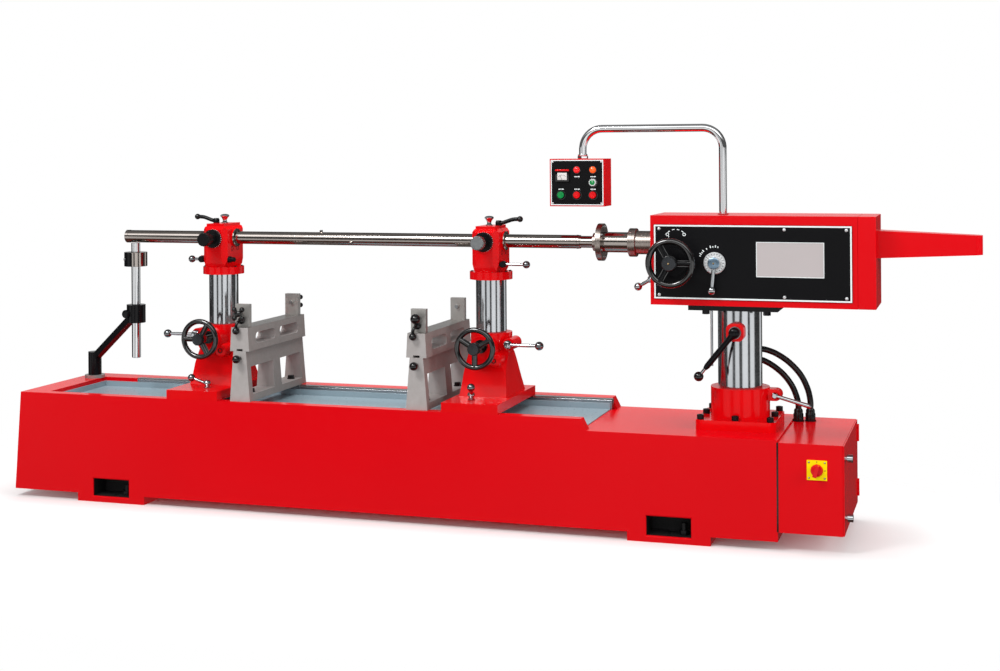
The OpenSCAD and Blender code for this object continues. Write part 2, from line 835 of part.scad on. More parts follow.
module isolator_knob() color(red) {
    y = bed_front - iso_plate_t - face_gap;
    bar_y(cab_x0 + iso_x, iso_z, iso_knob_d, y - 10, y);
    block(cab_x0 + iso_x - iso_knob_d / 2, cab_x0 + iso_x + iso_knob_d / 2, y - 24, y - 10,
        iso_z - 6, iso_z + 6);
    bar_y(cab_x0 + iso_x, iso_z, pivot_d, y - 10, bed_front + 12);
}

// Collar that carries the head column
module at_bolts() {
    for (i = [-1 : 1], j = [-1 : 1])
        if (i != 0 || j != 0) translate([col_x + i * bolt_off, j * bolt_off, 0]) children();
}
module column_collar() color(red) {
    difference() {
        union() {
            translate([col_x, 0, deck_z]) linear_extrude(flange_t) round_rect(flange_w, flange_w, flange_r);
            bar_z(col_x, 0, collar_d, deck_z, collar_z1);
            block(col_x + col_d / 2 + 8, col_x + clamp_x, -ear_w / 2, ear_w / 2, clamp_z - 20, clamp_z + 20);
            bar_y(col_x + clamp_x, clamp_z, 40, -ear_w / 2, ear_w / 2);
        }
        bar_z(col_x, 0, col_d + 2 * run_gap, deck_z - 1, collar_z1 + 1);
        block(col_x + col_d / 3, col_x + collar_d, -slit_w / 2, slit_w / 2, deck_z + flange_t, collar_z1 + 1);
        bar_y(col_x + clamp_x, clamp_z, clamp_d + 2 * run_gap, -ear_w, ear_w);
        at_bolts() bar_z(0, 0, bolt_d + 2 * seat_gap, deck_z - 1, deck_z + flange_t + 1);
    }
}
module collar_bolts() color(black) {
    at_bolts() difference() {
        union() {
            bar_z(0, 0, bolt_d, deck_z, deck_z + flange_t + 1);
            bar_z(0, 0, bolt_head, deck_z + flange_t, deck_z + flange_t + bolt_d);
        }
        translate([0, 0, deck_z + flange_t + bolt_d / 2]) cylinder(d = bolt_d, h = bolt_d, $fn = 6);
    }
}
module collar_handle() color(steel) {
    y = -ear_w / 2 - face_gap;
    bar_y(col_x + clamp_x, clamp_z, clamp_d, y - 1, ear_w / 2);
    bar_y(col_x + clamp_x, clamp_z, clamp_d * 1.7, y - 22, y);
    translate([col_x + clamp_x, y - 11, clamp_z]) rotate([0, handle_droop, 0])
        ball_arm(handle_l, 11, 16);
}

// Conduits
module hose(route) {
    n = hose_sides;
    k = len(route);
    rings = [for (i = [0 : k - 1]) each ring_at(route[i], heading(route, i), hose_d / 2, n)];
    sides = [
        for (i = [0 : k - 2], j = [0 : n - 1]) each [
            [i * n + j, (i + 1) * n + (j + 1) % n, i * n + (j + 1) % n],
            [i * n + j, (i + 1) * n + j, (i + 1) * n + (j + 1) % n]
        ]
    ];
    ends = [
        for (j = [1 : n - 2]) each [
            [0, j, j + 1], [(k - 1) * n, (k - 1) * n + j + 1, (k - 1) * n + j]
        ]
    ];
    polyhedron(rings, concat(sides, ends));
}
module conduits() color(black) {
    hose(hose_low);
    hose(hose_high);
}

// Head
module at_col_glands(r) {
    for (z = col_gland_z)
        translate([col_x, 0, z]) rotate([0, 0, -col_gland_ang]) translate([0, r, 0]) rotate([-90, 0, 0])
            children();
}
module head_column() color(steel) {
    difference() {
        bar_z(col_x, 0, col_d, deck_z - col_below, plate_z);
        bar_z(col_x, 0, col_bore, deck_z - col_below - 1, plate_z - 20);
        at_col_glands(0) cylinder(d = gland_shank + 2 * seat_gap, h = col_d);
        bar_y(col_x, boss_z, clamp_d + 2 * run_gap, -col_d, 0);
    }
}
module head_plate() color(black) {
    x0 = col_x - plate_l / 2;
    slab_y(-plate_w / 2, plate_w / 2) polygon([
        [x0, plate_z], [x0 + plate_l - plate_t, plate_z], [x0 + plate_l, head_z0], [x0, head_z0]
    ]);
    for (x = [-1, 1], y = [-1, 1])
        translate([col_x + x * (col_d / 2 + 28), y * (plate_w / 2 - 24), plate_z - 14])
            cylinder(d = 26, h = 14, $fn = 6);
    bar_z(col_x - stop_off, 0, stop_d, plate_z - stop_l, plate_z);
    at_col_glands(col_d / 2 + face_gap) {
        gland();
        translate([0, 0, -(col_d - col_bore) / 2]) cylinder(d = gland_shank, h = col_d / 6);
    }
}
module head_case() color(red) {
    difference() {
        block(head_x, case_x1, -head_w / 2, head_w / 2, head_z0, head_top);
        block(head_x + head_wall, case_x1 + 1, -head_w / 2 + head_wall, head_w / 2 - head_wall,
            head_z0 + head_wall, head_top - head_wall);
        bar_x(0, spin_z, nose_d + 2 * seat_gap, head_x - 1, head_x + 2 * head_wall);
        bar_y(feed_x, feed_z, ctl_d + 2 * run_gap, -head_w / 2 - 1, 0);
        bar_y(sel_x, sel_cz, ctl_d + 2 * run_gap, -head_w / 2 - 1, 0);
        bar_z(pipe_x, 0, pipe_d + 2 * run_gap, head_top - 2 * head_wall, head_top + 1);
        bar_x(-55, head_z0 + 80, pivot_d + 2 * run_gap, head_x - 1, head_x + 2 * head_wall);
    }
}
module head_end_cover() color(red) {
    difference() {
        block(case_x1, head_x1, -head_w / 2, head_w / 2, head_z0, head_top);
        block(case_x1 - 1, head_x1 - head_wall, -head_w / 2 + head_wall, head_w / 2 - head_wall,
            head_z0 + head_wall, head_top - head_wall);
        bar_x(0, spin_z, shaft_d + 20, case_x1, head_x1 + 1);
    }
}
module tail_side(i) {
    polygon([
        [head_x1 - min(i, 1), tail_z - tail_h0 / 2 + i], [head_x1 + tail_l - i, tail_z - tail_h1 / 2 + i],
        [head_x1 + tail_l - i, tail_z + tail_h1 / 2 - i], [head_x1 - min(i, 1), tail_z + tail_h0 / 2 - i]
    ]);
}
module tail_plan(i) {
    x1 = head_x1 + tail_l - i;
    r = tail_r - i;
    polygon([
        [head_x1 - min(i, 1), -tail_h0 / 2 + i], [x1 - r, -tail_h1 / 2 + i], [x1, -tail_h1 / 2 + i + r],
        [x1, tail_h1 / 2 - i - r], [x1 - r, tail_h1 / 2 - i], [head_x1 - min(i, 1), tail_h0 / 2 - i]
    ]);
    for (y = [-1, 1]) translate([x1 - r, y * (tail_h1 / 2 - i - r)]) circle(r = r);
}
module tail_solid(i) {
    intersection() {
        slab_y(-tail_h0, tail_h0) tail_side(i);
        translate([0, 0, tail_z - tail_h0]) linear_extrude(2 * tail_h0) tail_plan(i);
    }
}
module tail_cover() color(red) {
    difference() {
        tail_solid(0);
        tail_solid(tail_t);
    }
}
module control_panel() color(black) {
    x0 = head_x + panel_in;
    z0 = head_z0 + panel_up;
    sx = head_x + screen_in;
    sz = head_z0 + screen_z - screen_h / 2;
    difference() {
        block(x0, x0 + panel_l, panel_y, -head_w / 2, z0, z0 + panel_h);
        block(sx, sx + screen_l, panel_y - 1, panel_y + screen_t, sz, sz + screen_h);
        bar_y(feed_x, feed_z, ctl_d + 2 * run_gap, panel_y - 1, 0);
        bar_y(sel_x, sel_cz, ctl_d + 2 * run_gap, panel_y - 1, 0);
    }
    block(sx + seat_gap, sx + screen_l - seat_gap, panel_y, panel_y + screen_t, sz + seat_gap,
        sz + screen_h - seat_gap);
}
module lock_boss() color(red) {
    difference() {
        translate([col_x, 0, boss_z]) rotate([90, 0, 0]) linear_extrude(-boss_y)
            round_rect(boss_w, boss_w, boss_w / 3);
        bar_z(col_x, 0, col_d + 2 * seat_gap, boss_z - boss_w, boss_z + boss_w);
        bar_y(col_x, boss_z, clamp_d + 2 * run_gap, boss_y - 1, 0);
    }
}
module column_lock_lever() color(black) {
    y = boss_y - face_gap;
    bar_y(col_x, boss_z, clamp_d, y - 1, -col_bore / 2 - 4);
    bar_y(col_x, boss_z, 36, y - 28, y);
    translate([col_x, y - 15, boss_z]) rotate([0, 90 + lock_ang, 0]) ball_arm(lock_l, 16, ball_big);
}

// Spindle, quill and bar
module spindle_nose() color(steel) {
    difference() {
        union() {
            bar_x(0, spin_z, nose_d, nose_x0, nose_x1);
            bar_x(0, spin_z, nose_ring_d, nose_x0, nose_x0 + nose_ring_l);
        }
        bar_x(0, spin_z, quill_d + 2 * run_gap, nose_x0 - 1, nose_x1 + 1);
    }
}
module rack_gap() {
    w = rack_pitch / 4 + tooth_gap / 2;
    polygon([
        [-w - (rack_add + 1) * tan(20), -rack_add - 1], [w + (rack_add + 1) * tan(20), -rack_add - 1],
        [w - rack_ded * tan(20), rack_ded], [-w + rack_ded * tan(20), rack_ded]
    ]);
}
module quill() color(steel) {
    difference() {
        bar_x(0, spin_z, quill_d, quill_x0, quill_x1);
        bar_x(0, spin_z, quill_bore, quill_x0 - 1, quill_x1 + 1);
        for (k = [-ceil((feed_back + 8) / rack_pitch) : ceil((feed_ahead + 8) / rack_pitch)])
            translate([feed_x + k * rack_pitch, 0, pitch_z]) slab_y(-quill_d, quill_d) rack_gap();
    }
    for (x = [quill_x0, quill_x1 - bearing_l])
        difference() {
            bar_x(0, spin_z, quill_bore - 2 * seat_gap, x, x + bearing_l);
            bar_x(0, spin_z, shaft_d + 2 * run_gap, x - 1, x + bearing_l + 1);
        }
}
module at_bits() {
    for (i = [0 : 2])
        translate([(left_x + right_x) / 2 + (i - 1) * bit_pitch, 0, spin_z]) rotate([120 * i, 0, 0])
            children();
}
module boring_bar() color(steel) {
    x = coup_x0 - coup_hub_l;
    difference() {
        union() {
            bar_x(0, spin_z, bar_d, -bar_left, x - bar_neck_l);
            bar_x(0, spin_z, bar_neck_d, x - bar_neck_l, x);
            bar_x(0, spin_z, coup_hub_d, x, coup_x0);
            bar_x(0, spin_z, coup_d, coup_x0, coup_x1);
            bar_x(0, spin_z, shaft_d, coup_x1, head_x1 + shaft_out);
        }
        at_bits() block(-bit_w / 2 - seat_gap, bit_w / 2 + seat_gap, -bit_w / 2 - seat_gap,
            bit_w / 2 + seat_gap, 0, bar_d);
    }
    at_bits() block(-bit_w / 2, bit_w / 2, -bit_w / 2, bit_w / 2, seat_gap, bar_d / 2 + bit_out);
}
module pinion_outline() {
    rb = pinion_r * cos(20);
    rf = pinion_r - rack_ded;
    ra = pinion_r + rack_add;
    half0 = 90 / pinion_n - tooth_gap / 4 / pinion_r * 180 / PI + inv_deg(20);
    radii = [rf, rb, (rb + pinion_r) / 2, pinion_r, (pinion_r + ra) / 2, ra];
    halves = [for (r = radii) half0 - (r > rb ? inv_deg(acos(rb / r)) : 0)];
    m = len(radii) - 1;
    polygon([
        for (i = [0 : pinion_n - 1]) each [
            for (k = [0 : m], a = [90 + 360 * i / pinion_n - halves[k]]) radii[k] * [cos(a), sin(a)],
            for (k = [0 : m], a = [90 + 360 * i / pinion_n + halves[m - k]]) radii[m - k] * [cos(a), sin(a)]
        ]
    ]);
}
module feed_wheel() color(black) {
    translate([feed_x, feed_y, feed_z]) handwheel(feed_d, feed_rim, 44, 40, 0);
    bar_y(feed_x, feed_z, ctl_d, feed_y, pinion_w / 2 + 6);
    bar_y(feed_x, feed_z, 96, panel_y - face_gap - 12, panel_y - face_gap);
    translate([feed_x, 0, feed_z]) slab_y(-pinion_w / 2, pinion_w / 2) pinion_outline();
}
module selector_lever() color(steel) {
    y = panel_y - face_gap;
    bar_y(sel_x, sel_cz, sel_d, y - 9, y);
    bar_y(sel_x, sel_cz, 45, y - 26, y - 8);
    bar_y(sel_x, sel_cz, ctl_d, y - 1, -head_w / 2 + 3 * head_wall);
    translate([sel_x, y - 20, sel_cz]) rotate([0, 95, 0]) ball_arm(sel_l, 9, ball_small);
}
module quill_lever() color(steel) {
    z = head_z0 + 80;
    bar_x(-55, z, pivot_d, head_x - 1, head_x + 2 * head_wall);
    bar_x(-55, z, 24, head_x - face_gap - 22, head_x - face_gap);
    translate([head_x - face_gap - 12, -55, z]) rotate([0, 150, 0]) ball_arm(52, 9, ball_small);
}
module belt_outline(grow) {
    r1 = pulley_d / 2 + grow;
    r2 = mpulley_d / 2 + grow;
    s = (r1 - r2) / motor_drop;
    c = sqrt(1 - s * s);
    translate([0, spin_z]) circle(r = r1);
    translate([0, motor_z]) circle(r = r2);
    polygon([
        [r1 * c, spin_z + r1 * -s], [r2 * c, motor_z + r2 * -s],
        [-r2 * c, motor_z + r2 * -s], [-r1 * c, spin_z + r1 * -s]
    ]);
}
module spindle_pulley() color(grey) {
    difference() {
        bar_x(0, spin_z, pulley_d, pulley_x0, pulley_x1);
        bar_x(0, spin_z, shaft_d + 2 * run_gap, pulley_x0 - 1, pulley_x1 + 1);
    }
}
module motor_pulley() color(grey) {
    bar_x(0, motor_z, mpulley_d, pulley_x0, pulley_x1);
    bar_x(0, motor_z, mshaft_d, pulley_x1 - 1, motor_x0 + 40);
}
module drive_belt() color(black) {
    slab_x(pulley_x0 + 4, pulley_x1 - 4) difference() {
        belt_outline(belt_t);
        belt_outline(face_gap);
    }
}
module drive_motor() color(grey) {
    difference() {
        union() {
            bar_x(0, motor_z, motor_d, motor_x0, motor_x0 + motor_l);
            block(motor_x0 + 20, motor_x0 + motor_l - 20, -motor_d / 3, motor_d / 3,
                head_z0 + head_wall, motor_z);
        }
        bar_x(0, motor_z, mshaft_d + 2 * run_gap, motor_x0 - 1, motor_x0 + 41);
    }
}

// Pendant
module pipe_ring() {
    difference() {
        circle(d = pipe_d);
        circle(d = pipe_d - 5);
    }
}
module pendant_arm() color(steel) {
    b = pipe_bend;
    translate([pipe_x, 0, head_top - 2 * head_wall]) linear_extrude(pipe_h + 2 * head_wall - b) pipe_ring();
    translate([pipe_x - b, 0, pipe_z - b]) rotate([90, 0, 0]) rotate_extrude(angle = 90)
        translate([b, 0]) pipe_ring();
    translate([pipe_end + b, 0, pipe_z]) rotate([0, 90, 0]) linear_extrude(pipe_reach - 2 * b) pipe_ring();
    translate([pipe_end + b, 0, pipe_z - b]) rotate([90, 0, 0]) rotate([0, 0, 90]) rotate_extrude(angle = 90)
        translate([b, 0]) pipe_ring();
    translate([pipe_end, 0, pend_z1]) linear_extrude(pipe_z - b - pend_z1) pipe_ring();
    translate([pipe_x, 0, head_top]) linear_extrude(pipe_foot_h) difference() {
        circle(d = pipe_foot_d);
        circle(d = pipe_d - 2);
    }
    translate([pipe_end, 0, pend_z1]) linear_extrude(pend_nut) difference() {
        circle(d = pipe_d + 12, $fn = 6);
        circle(d = pipe_d - 2);
    }
}
module at_keys() {
    for (i = [-1 : 1]) translate([pend_x + i * key_dx, 0, key_z]) children();
    translate([pend_x + key_dx, 0, key_z + key_dz]) children();
}
module pendant_box() color(red) {
    x0 = pend_x - pend_w / 2;
    x1 = pend_x + pend_w / 2;
    t = pend_t;
    difference() {
        block(x0, x1, pend_front, -pend_front, pend_z0, pend_z1);
        block(x0 + t, x1 - t, pend_front - 1, -pend_front - t, pend_z0 + t, pend_z1 - t);
    }
    difference() {
        union() {
            block(x0 + t + seat_gap, x1 - t - seat_gap, pend_front, pend_front + t, pend_z0 + t + seat_gap,
                pend_z1 - t - seat_gap);
            at_keys() bar_y(0, 0, key_d + 7, pend_front - 3, pend_front + 1);
        }
        at_keys() bar_y(0, 0, key_d + 2 * seat_gap, pend_front - 4, pend_front + 1);
        at_keys() bar_y(0, 0, pivot_d + 2 * run_gap, pend_front - 4, pend_front + 2 * t);
    }
}
module push_button(i, head) {
    y = pend_front + 1 - key_travel - face_gap;
    bar_y(pend_x + i * key_dx, key_z, key_d, y - head, y);
    bar_y(pend_x + i * key_dx, key_z, pivot_d, y - 1, pend_front + 18);
}
module start_button() color(green) push_button(-1, 7);
module jog_button() color(red) push_button(0, 7);
module stop_button() color(red) push_button(1, 10);
module speed_knob() color(steel) {
    y = pend_front + 1 - face_gap;
    bar_y(pend_x + key_dx, key_z + key_dz, key_d, y - 8, y);
    bar_y(pend_x + key_dx, key_z + key_dz, pivot_d, y - 1, pend_front + 18);
    block(pend_x + key_dx - 4, pend_x + key_dx + 4, y - 20, y - 7, key_z + key_dz - 12, key_z + key_dz + 12);
}

// Rest that holds up the free end of the bar
module rest_stand() color(black) {
    span = [rest_x - post_x, -post_y, rclamp_z - way_z - rest_post_h + arm_w];
    flat = norm([span[0], span[1]]);
    bar_z(post_x, post_y, post_plate_d, way_z, way_z + 12);
    bar_z(post_x, post_y, post_d, way_z, way_z + rest_post_h);
    difference() {
        union() {
            translate([post_x, post_y, way_z + rest_post_h - arm_w])
                rotate([0, -atan2(span[2], flat), atan2(span[1], span[0])])
                    translate([0, -arm_w / 2, -arm_w / 2]) cube([norm(span) - rod_d / 2, arm_w, arm_w]);
            bar_z(rest_x, 0, rclamp_d, rclamp_z - rclamp_h / 2, rclamp_z + rclamp_h / 2);
        }
        bar_z(rest_x, 0, rod_d + 2 * run_gap, rclamp_z - rclamp_h, rclamp_z + rclamp_h);
    }
}
module rest_rod() color(steel) {
    bar_z(rest_x, 0, rod_d, spin_z - rod_low, rod_top);
    difference() {
        bar_z(rest_x, 0, rring_d, rring_z1 - rring_h, rring_z1);
        bar_z(rest_x, 0, rod_d + 2 * seat_gap, rring_z1 - rring_h - 1, rring_z1 + 1);
    }
}

// Uprights
// Foot whose two sides sweep in to the width of the collar
module flare(left, right) {
    h = flare_z - ped_z0;
    difference() {
        translate([-left, ped_z0 - 1]) square([left + right, h + 1]);
        translate([-ped_d / 2 - sweep(left), flare_z]) circle(r = sweep(left), $fn = 96);
        translate([ped_d / 2 + sweep(right), flare_z]) circle(r = sweep(right), $fn = 96);
    }
}
module pedestal(x) color(red) {
    upright(x) {
        difference() {
            union() {
                block(-base_w / 2, base_w / 2, bed_front, bed_front + base_l, way_z, ped_z0);
                intersection() {
                    slab_y(-ped_l, ped_l) flare(ped_w / 2, ped_w / 2);
                    slab_x(-ped_w, ped_w) flare(ped_l / 2 - ped_off, ped_l / 2 + ped_off);
                    translate([0, 0, ped_z0]) cylinder(r1 = ped_round, r2 = ped_d / 2 - ped_lip, h = flare_z - ped_z0);
                }
                bar_z(0, 0, ped_d, ped_z1 - ped_collar, ped_z1);
                bar_y(0, ped_z1 - gear_boss_drop, gear_boss_d, -gear_boss_out, 0);
                bar_y(lock_x, lock_z, 44, lock_y, 30);
            }
            bar_z(0, 0, up_d + 2 * run_gap, ped_z0, ped_z1 + 1);
            bar_y(0, wheel_z, ctl_d + 2 * run_gap, -gear_boss_out - 1, 0);
            bar_y(lock_x, lock_z, clamp_d + 2 * run_gap, lock_y - 1, -10);
            bar_z(base_lever_x, base_lever_y, clamp_d + 2 * run_gap, way_z - 1, ped_z0 + 1);
        }
        bar_z(0, 0, screw_d, ped_z0, ped_z1 - 20);
    }
}
module column(x) color(steel) {
    upright(x) difference() {
        bar_z(0, 0, up_d, up_z0, ring_z0);
        bar_z(0, 0, up_bore, up_z0 + lift_nut, ring_z0 - 20);
        bar_z(0, 0, screw_d + 4 * run_gap, up_z0 - 1, up_z0 + lift_nut + 1);
    }
}
// Outline of a bearing housing: a neck that widens to the body, and a raised top
module house_outline(w) {
    z = house_z1 - house_top;
    polygon([
        [-w / 2 + house_neck, house_z0], [w / 2 - house_neck, house_z0], [w / 2, house_z0 + house_neck_h],
        [w / 2, z - house_edge], [w / 2 - house_edge, z], [w / 2 - house_edge - 2, z],
        [w / 2 - house_edge - 2, house_z1], [-w / 2 + house_edge + 2, house_z1], [-w / 2 + house_edge + 2, z],
        [-w / 2 + house_edge, z], [-w / 2, z - house_edge], [-w / 2, house_z0 + house_neck_h]
    ]);
}
module housing(x) color(red) {
    upright(x) {
        difference() {
            union() {
                bar_z(0, 0, ring_d, ring_z0, house_z0);
                intersection() {
                    translate([0, 0, house_z0]) linear_extrude(house_h) cut_rect(house_w, house_l, house_cut);
                    slab_y(house_y, -house_y) house_outline(house_w);
                    slab_x(-house_w, house_w) house_outline(house_l);
                }
                block(house_w / 2 - house_neck, side_x + 11, side_y, side_y + 14, side_z - 13, side_z + 13);
            }
            bar_x(0, spin_z, bush_d + 2 * seat_gap, -house_w, house_w);
            bar_y(0, spin_z, ctl_d + 2 * run_gap, house_y - 1, house_y + 32);
            bar_y(side_x, side_z, pivot_d + 2 * run_gap, side_y - 1, side_y + 15);
            bar_z(30, 0, pivot_d + 2 * run_gap, house_z1 - 16, house_z1 + 1);
        }
        difference() {
            bar_x(0, spin_z, bush_d, -house_w / 2 - bush_out, house_w / 2 + bush_out);
            bar_x(0, spin_z, bar_d + 2 * run_gap, -house_w, house_w);
        }
        bar_z(-6, 0, oil_d * 0.5, house_z1, house_z1 + oil_h * 0.7);
        bar_z(-6, 0, oil_d, house_z1 + oil_h * 0.6, house_z1 + oil_h);
    }
}
module lift_wheel(x, turn) color(black) {
    upright(x) {
        translate([0, -wheel_out, wheel_z]) handwheel(wheel_d, wheel_rim, 38, 36, turn);
        bar_y(0, wheel_z, ctl_d, -wheel_out, -up_d / 2 - 2);
        bar_y(0, wheel_z, 48, -gear_boss_out - face_gap - 12, -gear_boss_out - face_gap);
    }
}
module lock_lever(x) color(steel) {
    y = lock_y - face_gap;
    upright(x) {
        bar_y(lock_x, lock_z, clamp_d, y - 1, -12);
        bar_y(lock_x, lock_z, 32, y - 26, y);
        translate([lock_x, y - 13, lock_z]) ball_arm(118, 12, ball_big);
    }
}
module base_lever(x, turn, rise, l) color(steel) {
    upright(x) {
        bar_z(base_lever_x, base_lever_y, clamp_d, way_z, ped_z0 + 1);
        bar_z(base_lever_x, base_lever_y, 28, ped_z0 + face_gap, ped_z0 + 24);
        translate([base_lever_x, base_lever_y, ped_z0 + 14]) rotate([0, -rise, turn])
            ball_arm(l, 11, ball_small);
    }
}
module top_lever(x) color(black) {
    upright(x) {
        bar_z(30, 0, pivot_d, house_z1 - 14, house_z1 + 1);
        bar_z(30, 0, 24, house_z1 + face_gap, house_z1 + 18);
        translate([30, 0, house_z1 + 9]) rotate([0, -10, 0]) ball_arm(80, 10, 20);
    }
}
module side_lever(x, l) color(steel) {
    y = side_y - face_gap;
    upright(x) {
        bar_y(side_x, side_z, pivot_d, y - 1, side_y + 13);
        bar_y(side_x, side_z, 24, y - 24, y);
        translate([side_x, y - 12, side_z]) ball_arm(l, 10, ball_small);
    }
}
module micrometer(x) color(black) {
    y = house_y - face_gap;
    upright(x) {
        bar_y(0, spin_z, ctl_d, y - 1, house_y + 30);
        bar_y(0, spin_z, micro_d, y - 14, y);
        bar_y(0, spin_z, micro_stem, y - micro_l, y - 13);
        bar_y(0, spin_z, micro_end, y - micro_l, y - micro_l + 26, $fn = 6);
    }
}
module left_pedestal() pedestal(left_x);
module right_pedestal() pedestal(right_x);
module left_column() column(left_x);
module right_column() column(right_x);
module left_housing() housing(left_x);
module right_housing() housing(right_x);
module left_lift_wheel() lift_wheel(left_x, 0);
module right_lift_wheel() lift_wheel(right_x, -30);
module left_lock_lever() lock_lever(left_x);
module right_lock_lever() lock_lever(right_x);
module left_base_lever() base_lever(left_x, -10, 20, 64);
module right_base_lever() base_lever(right_x, -72, 38, 58);
module left_top_lever() top_lever(left_x);
module right_top_lever() top_lever(right_x);
module left_side_lever() side_lever(left_x, 42);
module right_side_lever() side_lever(right_x, 86);
module left_micrometer() micrometer(left_x);
module right_micrometer() micrometer(right_x);

// Block supports
module front_taper(x, z0, w0, z1, w1) {
    slab_y(-sup_l, sup_l) polygon([
        [x - w0 / 2, z0], [x + w0 / 2, z0], [x + w1 / 2, z1], [x - w1 / 2, z1]
    ]);
}
module trestle(x) color(grey) {
    gap = (sup_l - 2 * sup_leg - sup_rib) / 2;
    intersection() {
        slab_x(x - sup_w0, x + sup_w0) difference() {
            translate([-sup_l / 2, way_z]) square([sup_l, sup_h]);
            for (i = [0, 1])
                translate([-sup_l / 2 + sup_leg + i * (gap + sup_rib), way_z + sup_foot])
                    square([gap, sup_h - sup_foot - sup_beam]);
        }
        front_taper(x, way_z, sup_w0, sup_z1, sup_w1);
    }
    block(x - tongue_w / 2, x + tongue_w / 2, -sup_l / 2 + 2 * sup_leg, sup_l / 2 - 2 * sup_leg, sup_z1 - 1,
        sup_z1 + tongue_h);
    bar_y(x, sup_z1 - 26, 16, -sup_l / 2 - 18, -sup_l / 2 + 10);
    translate([x, -sup_l / 2 - 26, sup_z1 - 26]) sphere(d = ball_big);
}
module seat_block(x) color(grey) {
    g = guide_gap;
    difference() {
        union() {
            intersection() {
                slab_x(x - sup_w0, x + sup_w0) difference() {
                    translate([-sup_l / 2, sup_z1]) square([sup_l, seat_h]);
                    for (y = [-1, 1])
                        translate([y * (slot_l + slot_web) / 2, sup_z1 + seat_h / 2])
                            round_rect(slot_l, slot_h, slot_h * 0.45);
                }
                front_taper(x, sup_z1, seat_w0, seat_z1, seat_w1);
            }
            for (y = [-1, 1])
                translate([x, y * (sup_l / 2 - post_in - post_l / 2), seat_z1 + post_h / 2 - 1])
                    cube([post_w, post_l, post_h], center = true);
        }
        block(x - tongue_w / 2 - g, x + tongue_w / 2 + g, -sup_l, sup_l, sup_z1 - 1, sup_z1 + tongue_h + g);
        bar_y(x, seat_z1 + post_h * post_share, post_screw + 2 * seat_gap, -sup_l, sup_l);
    }
    for (y = [0, 1])
        mirror([0, y, 0]) {
            bar_y(x, seat_z1 + post_h * post_share, post_screw, -sup_l / 2,
                -sup_l / 2 + post_in + post_l + 12);
            translate([x, -sup_l / 2 - 6, seat_z1 + post_h * post_share]) sphere(d = ball_big);
        }
}
module left_trestle() trestle(sup_left);
module right_trestle() trestle(sup_right);
module left_seat_block() seat_block(sup_left);
module right_seat_block() seat_block(sup_right);

bed_casing();
chip_tray();
rear_rail();
levelling_screws();
electric_cabinet();
cabinet_fittings();
cabinet_door();
isolator_knob();
column_collar();
collar_bolts();
collar_handle();
conduits();
head_column();
head_plate();
head_case();
head_end_cover();
tail_cover();
control_panel();
lock_boss();
column_lock_lever();
spindle_nose();
quill();
boring_bar();
feed_wheel();
selector_lever();
quill_lever();
spindle_pulley();
motor_pulley();
drive_belt();
drive_motor();
pendant_arm();
pendant_box();
start_button();
stop_button();
jog_button();
speed_knob();
rest_stand();
rest_rod();
left_pedestal();
left_column();
left_housing();
left_lift_wheel();
left_lock_lever();
left_base_lever();
left_top_lever();
left_side_lever();
left_micrometer();
right_pedestal();
right_column();
right_housing();
right_lift_wheel();
right_lock_lever();
right_base_lever();
right_top_lever();
right_side_lever();
right_micrometer();
left_trestle();
left_seat_block();
right_trestle();
right_seat_block();
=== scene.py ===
"""Looks of the line boring machine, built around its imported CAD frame.

Lengths are in millimetres in the code and turn to metres when a piece is made. X runs along the bed to
the spindle head, Y to the back, Z up, and the origin lies on the floor between the four anchor holes.
"""

from __future__ import annotations

import json
import logging
import math
from dataclasses import dataclass
from enum import Enum
from typing import Callable, Iterable, Sequence

import bmesh
import bpy
from mathutils import Matrix, Vector

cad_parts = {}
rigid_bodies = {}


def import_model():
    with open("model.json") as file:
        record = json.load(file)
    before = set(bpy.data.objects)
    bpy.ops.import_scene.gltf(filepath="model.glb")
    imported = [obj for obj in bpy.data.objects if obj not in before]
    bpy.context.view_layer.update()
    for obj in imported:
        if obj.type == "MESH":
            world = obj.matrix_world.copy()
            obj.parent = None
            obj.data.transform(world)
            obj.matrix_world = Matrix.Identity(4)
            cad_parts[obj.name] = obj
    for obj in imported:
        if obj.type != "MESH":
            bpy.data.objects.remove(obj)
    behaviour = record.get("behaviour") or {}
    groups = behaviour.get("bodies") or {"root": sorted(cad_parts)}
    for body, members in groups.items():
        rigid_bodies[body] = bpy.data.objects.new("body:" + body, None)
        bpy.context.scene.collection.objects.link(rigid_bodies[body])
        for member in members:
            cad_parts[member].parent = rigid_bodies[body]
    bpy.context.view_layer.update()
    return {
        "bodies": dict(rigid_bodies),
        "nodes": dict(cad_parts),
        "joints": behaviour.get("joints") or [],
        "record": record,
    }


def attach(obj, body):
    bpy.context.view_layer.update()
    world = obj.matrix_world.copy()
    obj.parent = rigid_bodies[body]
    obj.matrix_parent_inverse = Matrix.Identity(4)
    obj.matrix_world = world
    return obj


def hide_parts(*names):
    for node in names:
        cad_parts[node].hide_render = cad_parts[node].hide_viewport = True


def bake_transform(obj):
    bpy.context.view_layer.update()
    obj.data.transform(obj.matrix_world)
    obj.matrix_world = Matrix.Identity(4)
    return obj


LOG = logging.getLogger("line_boring_machine")
MM = 0.001
Point = Sequence[float]
Pair = tuple[float, float]
Triple = tuple[float, float, float]
Colour = tuple[float, float, float, float]
Pairs = Sequence[Pair]
Tree = bpy.types.NodeTree
Mesh = bmesh.types.BMesh
Test = Callable[[Vector], bool]
TO_FRONT, TO_BACK, TO_RIGHT, TO_LEFT, UP = (0, -1, 0), (0, 1, 0), (1, 0, 0), (-1, 0, 0), (0, 0, 1)
# Edges flatter than this are shaded smooth; CAD edges sharper than the second angle are rounded, in degrees.
SMOOTH_ANGLE, SHARP_ANGLE = 38.0, 32.0
# Points closer than this are one, in metres, and faces flatter than this angle are one, in degrees.
WELD, FLAT_ANGLE = 2e-5, 0.4
